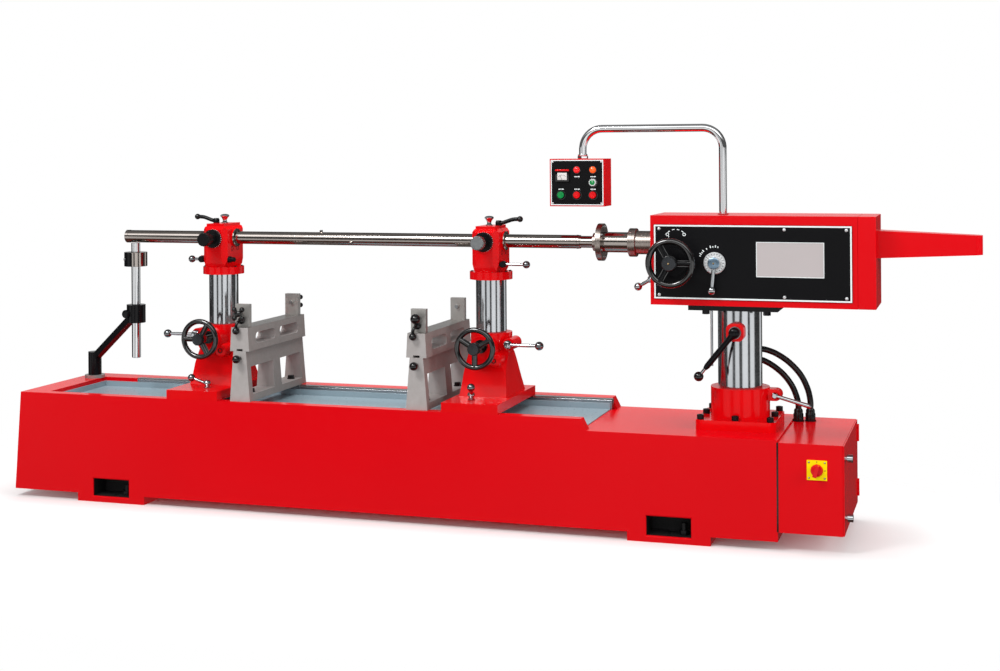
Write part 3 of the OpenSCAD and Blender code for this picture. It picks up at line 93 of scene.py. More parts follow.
# Strips of a plain rounded edge, and of a wide one.
EDGE_STEPS, WIDE_STEPS = 2, 5
# Roughness of every clear gloss coat.
COAT_ROUGHNESS = 0.06
# Points round a ball, and from pole to pole; points round a hoop, and round its section.
BALL_SIDES, BALL_STEPS, HOOP_SIDES, HOOP_SECTION = 28, 14, 72, 18


def linear(colour: str) -> Colour:
    """Turns an sRGB hex colour to linear light.

    Args:
        colour: six hex digits after a hash.

    Returns:
        Red, green, blue and full alpha.
    """
    parts = [int(colour[i:i + 2], 16) / 255 for i in (1, 3, 5)]
    light = [c / 12.92 if c <= 0.04045 else ((c + 0.055) / 1.055) ** 2.4 for c in parts]
    return light[0], light[1], light[2], 1.0


def add_node(tree: Tree, kind: str, settings: dict | None = None,
             inputs: dict | None = None) -> bpy.types.Node:
    """Adds one node with its settings and links.

    Args:
        tree: node tree to add to.
        kind: Blender's name of the node type.
        settings: the node's own properties.
        inputs: values or output sockets, by input name or number.

    Returns:
        The new node.
    """
    node = tree.nodes.new(kind)
    for key, value in (settings or {}).items():
        setattr(node, key, value)
    for key, value in (inputs or {}).items():
        if isinstance(value, bpy.types.NodeSocket):
            tree.links.new(value, node.inputs[key])
        else:
            node.inputs[key].default_value = value
    return node


class Grain(Enum):
    """Direction of a surface's fine lines, as how much each axis is stretched."""

    EVEN = (1.0, 1.0, 1.0)
    RINGS_X = (1.0, 0.04, 0.04)
    RINGS_Z = (0.04, 0.04, 1.0)
    ALONG_X = (0.03, 1.0, 1.0)


@dataclass(frozen=True)
class Finish:
    """One real surface: what it is made of and how it was made.

    Attributes:
        name: name of the material.
        slot: the record's slot that it belongs to.
        colour: sRGB hex colour.
        shade: second colour that the first drifts to.
        drift_mm: size of the patches of that drift.
        roughness: mean roughness.
        rough_span: how far the roughness wanders either way.
        grit_mm: size of the surface's relief.
        relief_mm: height of that relief.
        metallic: 1 for bare metal.
        coat: share of clear gloss on top.
        grain: direction of the relief.
        shine: strength of the mirror under the gloss; half is plain varnish.
    """

    name: str
    slot: str
    colour: str
    shade: str
    drift_mm: float
    roughness: float
    rough_span: float
    grit_mm: float
    relief_mm: float
    metallic: float = 0.0
    coat: float = 0.0
    grain: Grain = Grain.EVEN
    shine: float = 0.5

    def material(self) -> bpy.types.Material:
        """Makes the material once.

        Returns:
            The material, the same one at every call.
        """
        known = bpy.data.materials.get(self.name)
        if known:
            return known
        made = bpy.data.materials.new(self.name)
        made.use_nodes = True
        tree = made.node_tree
        shader = tree.nodes["Principled BSDF"]
        shader.inputs["Metallic"].default_value = self.metallic
        shader.inputs["Coat Weight"].default_value = self.coat
        shader.inputs["Coat Roughness"].default_value = COAT_ROUGHNESS
        shader.inputs["Specular IOR Level"].default_value = self.shine
        self.surface(tree, shader)
        return made

    def surface(self, tree: Tree, shader: bpy.types.Node) -> None:
        """Draws colour drift, roughness and relief.

        Args:
            tree: the material's nodes.
            shader: the material's main shader.
        """
        place = add_node(tree, "ShaderNodeTexCoord").outputs["Object"]
        drift = add_node(tree, "ShaderNodeTexNoise", None,
                         {"Vector": place, "Scale": 1 / (self.drift_mm * MM), "Detail": 4.0})
        colour = add_node(tree, "ShaderNodeMix", {"data_type": "RGBA"},
                          {0: drift.outputs["Fac"], 6: linear(self.colour), 7: linear(self.shade)})
        tree.links.new(colour.outputs[2], shader.inputs["Base Color"])
        run = add_node(tree, "ShaderNodeMapping", None, {"Vector": place, "Scale": self.grain.value})
        grit = add_node(tree, "ShaderNodeTexNoise", None,
                        {"Vector": run.outputs[0], "Scale": 1 / (self.grit_mm * MM), "Detail": 3.0})
        rough = add_node(tree, "ShaderNodeMapRange", None,
                         {"Value": grit.outputs["Fac"], "From Min": 0.3, "From Max": 0.7,
                          "To Min": self.roughness - self.rough_span,
                          "To Max": self.roughness + self.rough_span})
        tree.links.new(rough.outputs[0], shader.inputs["Roughness"])
        bump = add_node(tree, "ShaderNodeBump", None,
                        {"Height": grit.outputs["Fac"], "Distance": self.relief_mm * MM, "Strength": 1.0})
        tree.links.new(bump.outputs[0], shader.inputs["Normal"])


@dataclass(frozen=True)
class Glow(Finish):
    """A lamp's lit lens, or a pale window whose faint glow is painted light: either gives off a little light of its
    own.

    Attributes:
        light: strength of that light.
    """

    light: float = 0.2

    def surface(self, tree: Tree, shader: bpy.types.Node) -> None:
        """Adds the light to the plain surface.

        Args:
            tree: the material's nodes.
            shader: the material's main shader.
        """
        super().surface(tree, shader)
        shader.inputs["Emission Color"].default_value = linear(self.colour)
        shader.inputs["Emission Strength"].default_value = self.light


# Gloss enamel sprayed on plate: a wet red with a faint waviness, drawn at 30 mm because real orange peel
# of 2 mm is finer than a pixel.
PLATE_ENAMEL = Finish("gloss_enamel_on_plate", "red_paint", "#d80511", "#cf040f", 420, 0.18, 0.03, 30, 0.008,
                      shine=0.1)
# The same enamel on filled iron castings: softer, thicker, with the lumps of the filler under it.
CASTING_ENAMEL = Finish("gloss_enamel_on_castings", "red_paint", "#dc050c", "#cc040a", 60, 0.18, 0.05, 18, 0.08,
                        coat=0.12, shine=0.12)
# Satin light blue enamel on folded sheet: pale, a little chalky where chips have rubbed it.
TRAY_ENAMEL = Finish("satin_enamel_on_sheet", "tray_paint", "#7f929c", "#8fa1aa", 130, 0.34, 0.08, 9, 0.04,
                     coat=0.15)
# Steel ground between centres: a mirror drawn out into fine rings, shown at 3 mm instead of 0.2 mm.
GROUND_POST = Finish("steel_ground_round_posts", "ground_steel", "#cfd2d5", "#b9bcc0", 90, 0.13, 0.04, 3, 0.004,
                     metallic=1.0, grain=Grain.RINGS_Z)
# The same grinding on bars that lie along the bed: a grey mirror with its rings across X, tinted warm as a painted
# reflection of the red paint round it.
GROUND_BAR = Finish("steel_ground_round_bar", "ground_steel", "#bab2ac", "#a39b95", 120, 0.12, 0.04, 3, 0.004,
                    metallic=1.0, grain=Grain.RINGS_X)
# Steel turned in the lathe and left so: satin rings that blur what they mirror.
TURNED_STEEL = Finish("steel_turned_flanges", "ground_steel", "#b4aaa3", "#9d938c", 60, 0.3, 0.06, 3, 0.008,
                      metallic=1.0, grain=Grain.RINGS_X)
# Steel surface ground along the bed: long straight streaks.
GROUND_WAY = Finish("steel_ground_way", "ground_steel", "#b9bdc1", "#9fa4a8", 200, 0.26, 0.06, 4, 0.01,
                    metallic=1.0, grain=Grain.ALONG_X)
# Bright chrome plate on polished steel: a clear mirror with faint finger marks.
CHROME = Finish("bright_chrome_plate", "chrome", "#c6c9cc", "#b6babd", 40, 0.08, 0.03, 18, 0.003, metallic=1.0)
# Drawn tube, polished and thinly chromed: paler than the plate on turned parts.
POLISHED_TUBE = Finish("chromed_drawn_tube", "chrome", "#f0f1f2", "#e6e8ea", 60, 0.07, 0.02, 20, 0.002, metallic=1.0)
# Polished steel lever balls without plate: darker than chrome, with sharp lights.
STEEL_BALL = Finish("polished_steel_balls", "chrome", "#8d9093", "#7b7e81", 30, 0.1, 0.03, 14, 0.003, metallic=1.0)
# Satin chrome on dials and small screws: pale, with the shine spread wide.
SATIN_CHROME = Finish("satin_chrome_plate", "chrome", "#e6e8e9", "#d6d9db", 12, 0.42, 0.06, 3, 0.01, metallic=0.6)
# Dull zinc plate on bolts: a grey metal with a slight bloom.
ZINC = Finish("zinc_plate", "zinc_steel", "#a9acad", "#8d9092", 15, 0.38, 0.08, 4, 0.02, metallic=1.0)
# Satin black stove enamel on iron: deep black with a broad soft shine.
BLACK_ENAMEL = Finish("satin_black_enamel", "black_oxide", "#08080a", "#0d0d0f", 45, 0.22, 0.05, 10, 0.02,
                      shine=0.2)
# Gloss black enamel, rubbed bright by hands: black with sharp white lights.
GLOSS_BLACK = Finish("gloss_black_enamel", "black_oxide", "#070708", "#0a0a0b", 45, 0.14, 0.03, 14, 0.006, coat=0.8,
                     shine=0.7)
# Black oxide on steel: a dry near-black with oil left in it.
BLACK_OXIDE = Finish("black_oxide_on_steel", "black_oxide", "#08080a", "#101012", 12, 0.3, 0.07, 3, 0.02,
                     shine=0.22)
# Turned hub caps in worn black oxide: dark grey steel with the tool's rings.
TURNED_BLACK = Finish("worn_black_oxide", "black_oxide", "#4a4c4f", "#393b3e", 12, 0.3, 0.06, 3, 0.02, metallic=0.9)
# Moulded black phenolic balls: glossy with a soft parting line's haze.
BLACK_MOULDING = Finish("moulded_phenolic", "black_plastic", "#070708", "#0b0b0d", 20, 0.1, 0.03, 8, 0.006,
                        coat=0.3)
# Silk-screened panel: matt black lacquer, a very fine tooth drawn at 4 mm.
PANEL_BLACK = Finish("matt_black_panel_lacquer", "black_plastic", "#09090b", "#0d0d0f", 150, 0.42, 0.04, 4, 0.006,
                     shine=0.12)
# Silk-screen ink: opaque white with a dry surface.
PANEL_WHITE = Finish("white_screen_ink", "black_plastic", "#eef3f3", "#e2e9ea", 30, 0.5, 0.04, 4, 0.005)
# Extruded rubber conduit: black with a broad soft shine, dusty in places; the same black also fills the gap beside
# the cabinet as painted shade.
RUBBER_AND_GAP_SHADE = Finish("extruded_rubber", "rubber", "#09090a", "#101011", 35, 0.24, 0.06, 5, 0.02, shine=0.5)
# Sand-cast iron under thin grey primer: a rough, mottled light grey with a gritty skin of 7 mm patches.
CAST_GREY = Finish("primed_sand_cast_iron", "grey_paint", "#aaa5a4", "#98928f", 26, 0.5, 0.08, 7, 0.16)
# The long sides of the same castings that face right: the same primed iron drawn less bright than the ends, as
# painted shade.
CAST_PAINTED_SHADE = Finish("oiled_sand_cast_iron", "grey_paint", "#8b8582", "#7a7471", 26, 0.5, 0.08, 7, 0.16)
# Their ground top: dark iron with a low shine.
GROUND_IRON = Finish("ground_iron", "grey_paint", "#8a8683", "#77736f", 40, 0.34, 0.07, 5, 0.03, metallic=0.8)
# Milled edges of the same castings: brighter, with cutter marks.
MILLED_IRON = Finish("milled_iron", "grey_paint", "#b9b6b2", "#a5a29e", 40, 0.36, 0.07, 5, 0.04, metallic=0.7)
# Moulded push buttons: a strong green with a low gloss.
GREEN_BUTTON = Finish("moulded_green", "green_plastic", "#0f8a44", "#0c7a3b", 12, 0.2, 0.03, 6, 0.01, coat=0.12,
                      shine=0.3)
# The same moulding in red, also for the isolator's knob.
RED_BUTTON = Finish("moulded_red", "red_plastic", "#dd1016", "#c80c12", 12, 0.2, 0.03, 6, 0.01, coat=0.08,
                    shine=0.2)
# Moulded plate behind the isolator: a flat bright yellow with hardly any shine.
YELLOW_PLATE = Finish("moulded_yellow", "red_plastic", "#fbe000", "#f4d800", 30, 0.3, 0.04, 6, 0.01, shine=0.12)
# Lamp lens moulded in clear red: glossy, with a little light of its own.
RED_LENS = Glow("red_lamp_lens", "red_plastic", "#f0161a", "#d81014", 12, 0.16, 0.03, 5, 0.01, coat=0.6, light=0.25)
# The same lens in amber.
AMBER_LENS = Glow("amber_lamp_lens", "red_plastic", "#ff5a10", "#f04a08", 12, 0.16, 0.03, 5, 0.01, coat=0.6,
                  light=0.3)
# Dull film over the display: a pale grey without sharp lights.
SCREEN = Finish("pale_display_film", "black_plastic", "#b8b0b0", "#b2aaaa", 160, 0.4, 0.03, 12, 0.003)
# Printed card behind the meter's window: an off-white with a faint glow of its own, painted light that keeps it light
# in shade.
DIAL_FACE = Glow("meter_card", "black_plastic", "#d9d6d2", "#c9c4c2", 20, 0.35, 0.03, 6, 0.003, light=0.1)
# Turned aluminium hub with a blue-grey anodised face.
BLUE_HUB = Finish("anodised_aluminium", "chrome", "#8fa9be", "#7f99ae", 25, 0.3, 0.05, 3, 0.01, metallic=1.0)
# Bronze bush: warm bearing metal.
BUSH = Finish("bearing_bronze", "ground_steel", "#b9a079", "#9c855f", 30, 0.28, 0.05, 4, 0.01, metallic=1.0)
# Flat black inside the foot pockets and in the louvre slits: painted shade, with no shine.
PAINTED_SHADE_BLACK = Finish("bitumen_paint", "black_oxide", "#070708", "#0d0d0e", 40, 0.7, 0.08, 6, 0.06)


@dataclass(frozen=True)
class Fading(Finish):
    """A floor that thins out to the white surround away from the machine.

    Attributes:
        reach: half length and half depth of the part that is laid in full, metres.
    """

    reach: Pair = (2.3, 1.3)

    def surface(self, tree: Tree, shader: bpy.types.Node) -> None:
        """Fades the plain surface out.

        Args:
            tree: the material's nodes.
            shader: the material's main shader.
        """
        super().surface(tree, shader)
        place = add_node(tree, "ShaderNodeTexCoord").outputs["Object"]
        span = add_node(tree, "ShaderNodeMapping", None,
                        {"Vector": place, "Scale": (1 / self.reach[0], 1 / self.reach[1], 1.0)})
        away = add_node(tree, "ShaderNodeVectorMath", {"operation": "LENGTH"}, {0: span.outputs[0]})
        fade = add_node(tree, "ShaderNodeMapRange", {"interpolation_type": "SMOOTHSTEP"},
                        {"Value": away.outputs["Value"], "From Min": 0.45, "From Max": 1.3})
        clear = add_node(tree, "ShaderNodeBsdfTransparent")
        mix = add_node(tree, "ShaderNodeMixShader", None,
                       {0: fade.outputs["Result"], 1: shader.outputs[0], 2: clear.outputs[0]})
        tree.links.new(mix.outputs[0], tree.nodes["Material Output"].inputs["Surface"])


# Painted studio floor: nearly white, dull, without marks.
FLOOR = Fading("pale_studio_floor", "grey_paint", "#f4f4f4", "#efefef", 900, 0.7, 0.05, 40, 0.02)


def basis(axis: Point) -> tuple[Vector, Vector, Vector]:
    """Finds two directions square to an axis.

    Args:
        axis: any direction.

    Returns:
        Two unit vectors square to the axis, and the axis as a unit vector.
    """
    w = Vector(axis).normalized()
    helper = Vector(UP) if abs(w.z) < 0.9 else Vector(TO_RIGHT)
    u = helper.cross(w).normalized()
    return u, w.cross(u), w


def round_turns(count: int) -> list[float]:
    """Divides a full turn into equal parts and gives the start of each, in radians."""
    return [2 * math.pi * i / count for i in range(count)]


def spoke(degrees: float) -> Vector:
    """Gives the direction at an angle from the X axis towards Z."""
    angle = math.radians(degrees)
    return Vector((math.cos(angle), 0, math.sin(angle)))


def mark_edges(bm: Mesh, angle: float) -> None:
    """Shades all faces smooth and keeps edges above an angle crisp.

    Args:
        bm: mesh to mark.
        angle: largest smooth angle, in degrees.
    """
    for face in bm.faces:
        face.smooth = True
    for edge in bm.edges:
        edge.smooth = len(edge.link_faces) == 2 and edge.calc_face_angle(0.0) < math.radians(angle)


def make_object(bm: Mesh, name: str, body: str, finishes: Sequence[Finish],
                replaces: Iterable[str] = ()) -> bpy.types.Object:
    """Turns a mesh in metres into a piece that rides on a body.

    Args:
        bm: the finished mesh; it is freed.
        name: name of the piece.
        body: CAD body that it moves with, or nothing for a piece that rides on no body.
        finishes: finishes in the order of the faces' material numbers.
        replaces: CAD nodes that the piece stands for.

    Returns:
        The new object.
    """
    mesh = bpy.data.meshes.new(name)
    bm.to_mesh(mesh)
    bm.free()
    for finish in finishes:
        mesh.materials.append(finish.material())
    piece = bpy.data.objects.new(name, mesh)
    bpy.context.scene.collection.objects.link(piece)
    if body:
        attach(piece, body)
    if replaces:
        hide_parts(*replaces)
    LOG.info("made %s on %s", name, body or "two bodies")
    return piece


class Maker:
    """Collects the faces of one piece, in millimetres, and makes the piece from them."""

    def __init__(self, name: str, body: str, finish: Finish) -> None:
        """Starts an empty piece.

        Args:
            name: name of the piece.
            body: CAD body that it moves with, or nothing for a piece that rides on no body.
            finish: its first finish.
        """
        self.name = name
        self.body = body
        self.bm = bmesh.new()
        self.finishes: list[Finish] = [finish]
        self.current = 0

    def use(self, finish: Finish) -> Maker:
        """Sets the finish of the faces that follow.

        Args:
            finish: the finish to use.

        Returns:
            This maker.
        """
        if finish not in self.finishes:
            self.finishes.append(finish)
        self.current = self.finishes.index(finish)
        return self

    def face(self, corners: Sequence[bmesh.types.BMVert]) -> None:
        """Adds one face with the current finish."""
        self.bm.faces.new(corners).material_index = self.current

    def grid(self, rows: Sequence[Sequence[Vector]], loop: bool = False) -> Maker:
        """Joins rings of points with faces and closes the ends.

        Args:
            rows: rings of equal length.
            loop: whether the last ring joins the first, so that there are no ends.

        Returns:
            This maker.
        """
        made = [[self.bm.verts.new(p) for p in row] for row in rows]
        n = len(made[0])
        for i in range(len(made) - (0 if loop else 1)):
            a, b = made[i], made[(i + 1) % len(made)]
            for j in range(n):
                self.face((a[j], a[(j + 1) % n], b[(j + 1) % n], b[j]))
        if not loop:
            self.face(made[0][::-1])
            self.face(made[-1])
        return self

    def lathe(self, outline: Pairs, at: Point, axis: Point, sides: int = 40,
              flutes: int = 0, depth: float = 0.0) -> Maker:
        """Turns an outline about an axis.

        Args:
            outline: pairs of radius and distance along the axis.
            at: point on the axis where the distance is zero.
            axis: direction of the axis.
            sides: points round the axis.
            flutes: number of grooves round the piece.
            depth: depth of those grooves.

        Returns:
            This maker.
        """
        u, v, w = basis(axis)
        turns = round_turns(max(sides, 6 * flutes))
        rows = []
        for r, t in outline:
            cut = depth if flutes and r > 2 * depth else 0.0
            rows.append([Vector(at) + w * t
                         + (u * math.cos(a) + v * math.sin(a))
                         * (max(r, 0.01) - cut * (0.5 + 0.5 * math.cos(flutes * a)))
                         for a in turns])
        return self.grid(rows)

    def ball(self, at: Point, radius: float, axis: Point = UP) -> Maker:
        """Adds a ball with its poles on an axis, and returns this maker."""
        steps = [math.pi * i / BALL_STEPS for i in range(BALL_STEPS + 1)]
        return self.lathe([(radius * math.sin(s), -radius * math.cos(s)) for s in steps], at, axis, BALL_SIDES)

    def tube(self, points: Sequence[Point], radii: float | Sequence[float], sides: int = 20) -> Maker:
        """Sweeps a round section along points.

        Args:
            points: the line that it follows.
            radii: one radius, or one for each point.
            sides: points round the section.

        Returns:
            This maker.
        """
        line = [Vector(p) for p in points]
        size = [radii] * len(line) if isinstance(radii, (int, float)) else list(radii)
        rows, u = [], None
        for i, p in enumerate(line):
            way = (line[min(i + 1, len(line) - 1)] - line[max(i - 1, 0)]).normalized()
            u = basis(way)[0] if u is None else (u - way * u.dot(way)).normalized()
            v = way.cross(u)
            rows.append([p + (u * math.cos(a) + v * math.sin(a)) * size[i] for a in round_turns(sides)])
        return self.grid(rows)

    def hoop(self, at: Point, axis: Point, radius: float, thick: float, flat: float = 1.0) -> Maker:
        """Adds a round ring of round section.

        Args:
            at: its centre.
            axis: its axis.
            radius: radius of the section's middle.
            thick: diameter of the section.
            flat: height of the section along the axis, as a share of its width.

        Returns:
            This maker.
        """
        u, v, w = basis(axis)
        rows = []
        for turn in round_turns(HOOP_SIDES):
            out = u * math.cos(turn) + v * math.sin(turn)
            rows.append([Vector(at) + out * (radius + thick / 2 * math.cos(a)) + w * (thick / 2 * flat * math.sin(a))
                         for a in round_turns(HOOP_SECTION)])
        return self.grid(rows, loop=True)

    def box(self, low: Point, high: Point, soft: float = 1.0) -> Maker:
        """Adds a block with rounded edges.

        Args:
            low: lowest corner.
            high: highest corner.
            soft: radius of the edges.

        Returns:
            This maker.
        """
        size = Vector(high) - Vector(low)
        turn = Matrix.Translation((Vector(high) + Vector(low)) / 2) @ Matrix.Diagonal((*size, 1))
        made = bmesh.ops.create_cube(self.bm, size=1.0, matrix=turn)["verts"]
        edges = {e for v in made for e in v.link_edges}
        for f in {f for v in made for f in v.link_faces}:
            f.material_index = self.current
        if soft > 0:
            new = bmesh.ops.bevel(self.bm, geom=list(edges), offset=min(soft, 0.45 * min(size)), segments=2,
                                  profile=0.5, affect="EDGES", clamp_overlap=True)
            for f in new["faces"]:
                f.material_index = self.current
        return self

    def plate(self, outline: Pairs, at: Point, u: Point, v: Point, thick: float) -> Maker:
        """Adds a flat plate of any outline.

        Args:
            outline: its corners along u and v.
            at: where u and v are zero.
            u: first direction.
            v: second direction.
            thick: thickness along the cross product of u and v.

        Returns:
            This maker.
        """
        w = Vector(u).cross(Vector(v)).normalized() * thick
        low = [Vector(at) + Vector(u) * a + Vector(v) * b for a, b in outline]
        return self.grid([low, [p + w for p in low]])

    def done(self, replaces: Iterable[str] = (), angle: float = SMOOTH_ANGLE) -> bpy.types.Object:
        """Makes the piece.

        Args:
            replaces: CAD nodes that it stands for.
            angle: largest smooth angle, in degrees.

        Returns:
            The new object.
        """
        bmesh.ops.recalc_face_normals(self.bm, faces=self.bm.faces)
        bmesh.ops.transform(self.bm, matrix=Matrix.Scale(MM, 4), verts=self.bm.verts)
        mark_edges(self.bm, angle)
        return make_object(self.bm, self.name, self.body, self.finishes, replaces)


@dataclass
class Shop:
    """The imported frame, with the jobs that all sub-assemblies share.

    Attributes:
    """

    frame: dict

    def paint(self, finish: Finish, *nodes: str) -> None:
        """Gives CAD nodes a finish as they are.

        Args:
            finish: the finish.
            nodes: names of the nodes.
        """
        for node in nodes:
            mesh = self.frame["nodes"][node].data
            mesh.materials.clear()
            mesh.materials.append(finish.material())

    @staticmethod
    def sharp_edges(bm: Mesh) -> list[bmesh.types.BMEdge]:
        """Lists the edges where two faces meet at a clear angle."""
        return [e for e in bm.edges if len(e.link_faces) == 2 and e.calc_face_angle(0.0) > math.radians(SHARP_ANGLE)]

    @staticmethod
    def round_edges(bm: Mesh, edges: list[bmesh.types.BMEdge], width: float, steps: int) -> None:
        """Rounds edges of a mesh by a width in mm, with a number of strips."""
        bmesh.ops.bevel(bm, geom=edges, offset=width * MM, segments=steps, profile=0.5, affect="EDGES",
                        clamp_overlap=True)

    def soften(self, node: str, body: str, finish: Finish, width: float,
               picks: Sequence[tuple[Test, Finish]] = (), wide: tuple[Test, float] | None = None,
               drop: Test | None = None) -> bpy.types.Object:
        """Copies a CAD node with rounded edges, as casting and painting leave them.

        Args:
            node: the CAD node.
            body: the body that it rides on.
            finish: its main finish.
            width: width of the rounded edge.
            picks: tests of a face's middle, in mm, with the finish that such a face gets.
            wide: test of both ends of an edge, in mm, with the wider rounding that such an edge gets.
            drop: test of the middle of a face that another piece draws in finer form.

        Returns:
            The piece that stands for the node.
        """
        bm = bmesh.new()
        bm.from_mesh(self.frame["nodes"][node].data)
        bmesh.ops.remove_doubles(bm, verts=bm.verts, dist=WELD)
        bmesh.ops.dissolve_limit(bm, angle_limit=math.radians(FLAT_ANGLE), verts=bm.verts, edges=bm.edges)
        if drop:
            gone = [f for f in bm.faces if drop(f.calc_center_median() / MM)]
            bmesh.ops.delete(bm, geom=gone, context="FACES")
        if wide:
            test, far = wide
            self.round_edges(bm, [e for e in self.sharp_edges(bm) if all(test(v.co / MM) for v in e.verts)], far,
                             WIDE_STEPS)
        self.round_edges(bm, self.sharp_edges(bm), width, EDGE_STEPS)
        bmesh.ops.triangulate(bm, faces=[f for f in bm.faces if len(f.verts) > 4])
        finishes = [finish]
        for face in bm.faces:
            face.material_index = 0
            middle = face.calc_center_median() / MM
            for test, other in picks:
                if test(middle):
                    if other not in finishes:
                        finishes.append(other)
                    face.material_index = finishes.index(other)
                    break
        mark_edges(bm, SMOOTH_ANGLE)
        piece = make_object(bm, node + "_finished", body, finishes, [node])
        even = piece.modifiers.new("even_shading", "WEIGHTED_NORMAL")
        even.keep_sharp = True
        return piece


def arm(maker: Maker, start: Point, way: Point, length: float, thick: float, ball: float,
        ball_finish: Finish) -> None:
    """Adds a turned lever arm with a ball on its end.

    Args:
        maker: piece to add to.
        start: where the arm leaves its hub.
        way: its direction.
        length: distance from there to the middle of the ball.
        thick: diameter of the arm at its root.
        ball: diameter of the ball.
        ball_finish: finish of the ball.
    """
    r = thick / 2
    neck = length - ball * 0.46
    maker.lathe([(r, 0), (r, length * 0.1), (r * 0.8, length * 0.3), (r * 0.86, length * 0.65), (r * 0.72, neck)],
                start, way, 24)
    maker.use(ball_finish).ball(Vector(start) + Vector(way).normalized() * length, ball / 2, way)


def screw_head(maker: Maker, at: Point, axis: Point, radius: float) -> None:
    """Adds a domed screw head with a flat rim, seated at a point and facing along an axis."""
    maker.lathe([(radius, 0), (radius, radius * 0.25), (radius * 0.8, radius * 0.55), (radius * 0.35, radius * 0.7),
                 (radius * 0.3, radius * 0.55)], at, axis, 20)


def screw_rows(maker: Maker, xs: Iterable[float], y: float, zs: Sequence[float], axis: Point, radius: float) -> None:
    """Adds a screw head at each crossing of columns and rows.

    Args:
        maker: piece to add to.
        xs: the columns.
        y: face that the heads sit on.
        zs: the rows.
        axis: direction that the heads face.
        radius: radius of the heads.
    """
    for x in xs:
        for z in zs:
            screw_head(maker, (x, y, z), axis, radius)


def hex_head(maker: Maker, at: Point, axis: Point, radius: float, height: float) -> None:
    """Adds a hexagon bolt head on a washer; the radius is that of its corners."""
    maker.lathe([(radius * 1.2, 0), (radius * 1.2, height * 0.2)], at, axis, 28)
    maker.lathe([(radius, height * 0.2), (radius, height * 0.85), (radius * 0.86, height)], at, axis, 6)


@dataclass
class Bed:
    """The welded bed with its tray, rail, feet and levelling screws.

    Attributes:
        shop: shared jobs.
        foot_x: distance of the feet's middle from the origin.
        pocket_half: half length of the foot pockets.
        pocket_in: distance of the pockets' back from the bed's middle.
        front: distance of the front face from the bed's middle.
        right: right end of the bed.
        rim: width of the rounding round the pockets' mouths.
        pocket_z: lowest and highest point of the pockets and the holes under them.
        gap_shade_z: lower and upper end of the black strip in the gap beside the cabinet, painted shade.
    """

    shop: Shop
    foot_x: float = 1053.5
    pocket_half: float = 75.5
    pocket_in: float = 166.0
    front: float = 255.0
    right: float = 1413.0
    rim: float = 6.0
    pocket_z: Pair = (4.0, 86.5)
    gap_shade_z: Pair = (62.0, 352.0)

    def over_pocket(self, p: Vector) -> bool:
        """Tells whether a point lies at a foot pocket, seen from the front."""
        return abs(abs(p.x) - self.foot_x) < self.pocket_half and self.pocket_z[0] < p.z < self.pocket_z[1]

    def in_pocket(self, p: Vector) -> bool:
        """Tells whether a point lies on the inside of a foot pocket."""
        return self.over_pocket(p) and self.pocket_in < abs(p.y) < self.front - self.rim

    def on_mouth(self, p: Vector) -> bool:
        """Tells whether a point lies on the mouth of a foot pocket."""
        return self.over_pocket(p) and abs(abs(p.y) - self.front) < 0.6

    def build(self) -> None:
        """Builds the bed's pieces."""
        # The insides of the foot pockets are drawn black as painted shade.
        self.shop.soften("bed_casing", "bed", PLATE_ENAMEL, 3.0, [(self.in_pocket, PAINTED_SHADE_BLACK)],
                         wide=(self.on_mouth, self.rim))
        self.shop.soften("chip_tray", "bed", TRAY_ENAMEL, 1.0)
        self.shop.soften("rear_rail", "bed", GROUND_WAY, 1.0)
        self.shop.soften("levelling_screws", "bed", BLACK_OXIDE, 1.0)
        # A black strip at the front and back of the bed's right end stands for the dark gap beside the cabinet:
        # painted shade.
        gap_shade = Maker("cabinet_seal", "bed", RUBBER_AND_GAP_SHADE)
        low, high = self.gap_shade_z
        for y0, y1 in ((-self.front - 0.6, -self.front + 6), (self.front - 6, self.front + 0.6)):
            gap_shade.box((self.right - 3, y0, low), (self.right + 3, y1, high), 0.5)
        gap_shade.done()


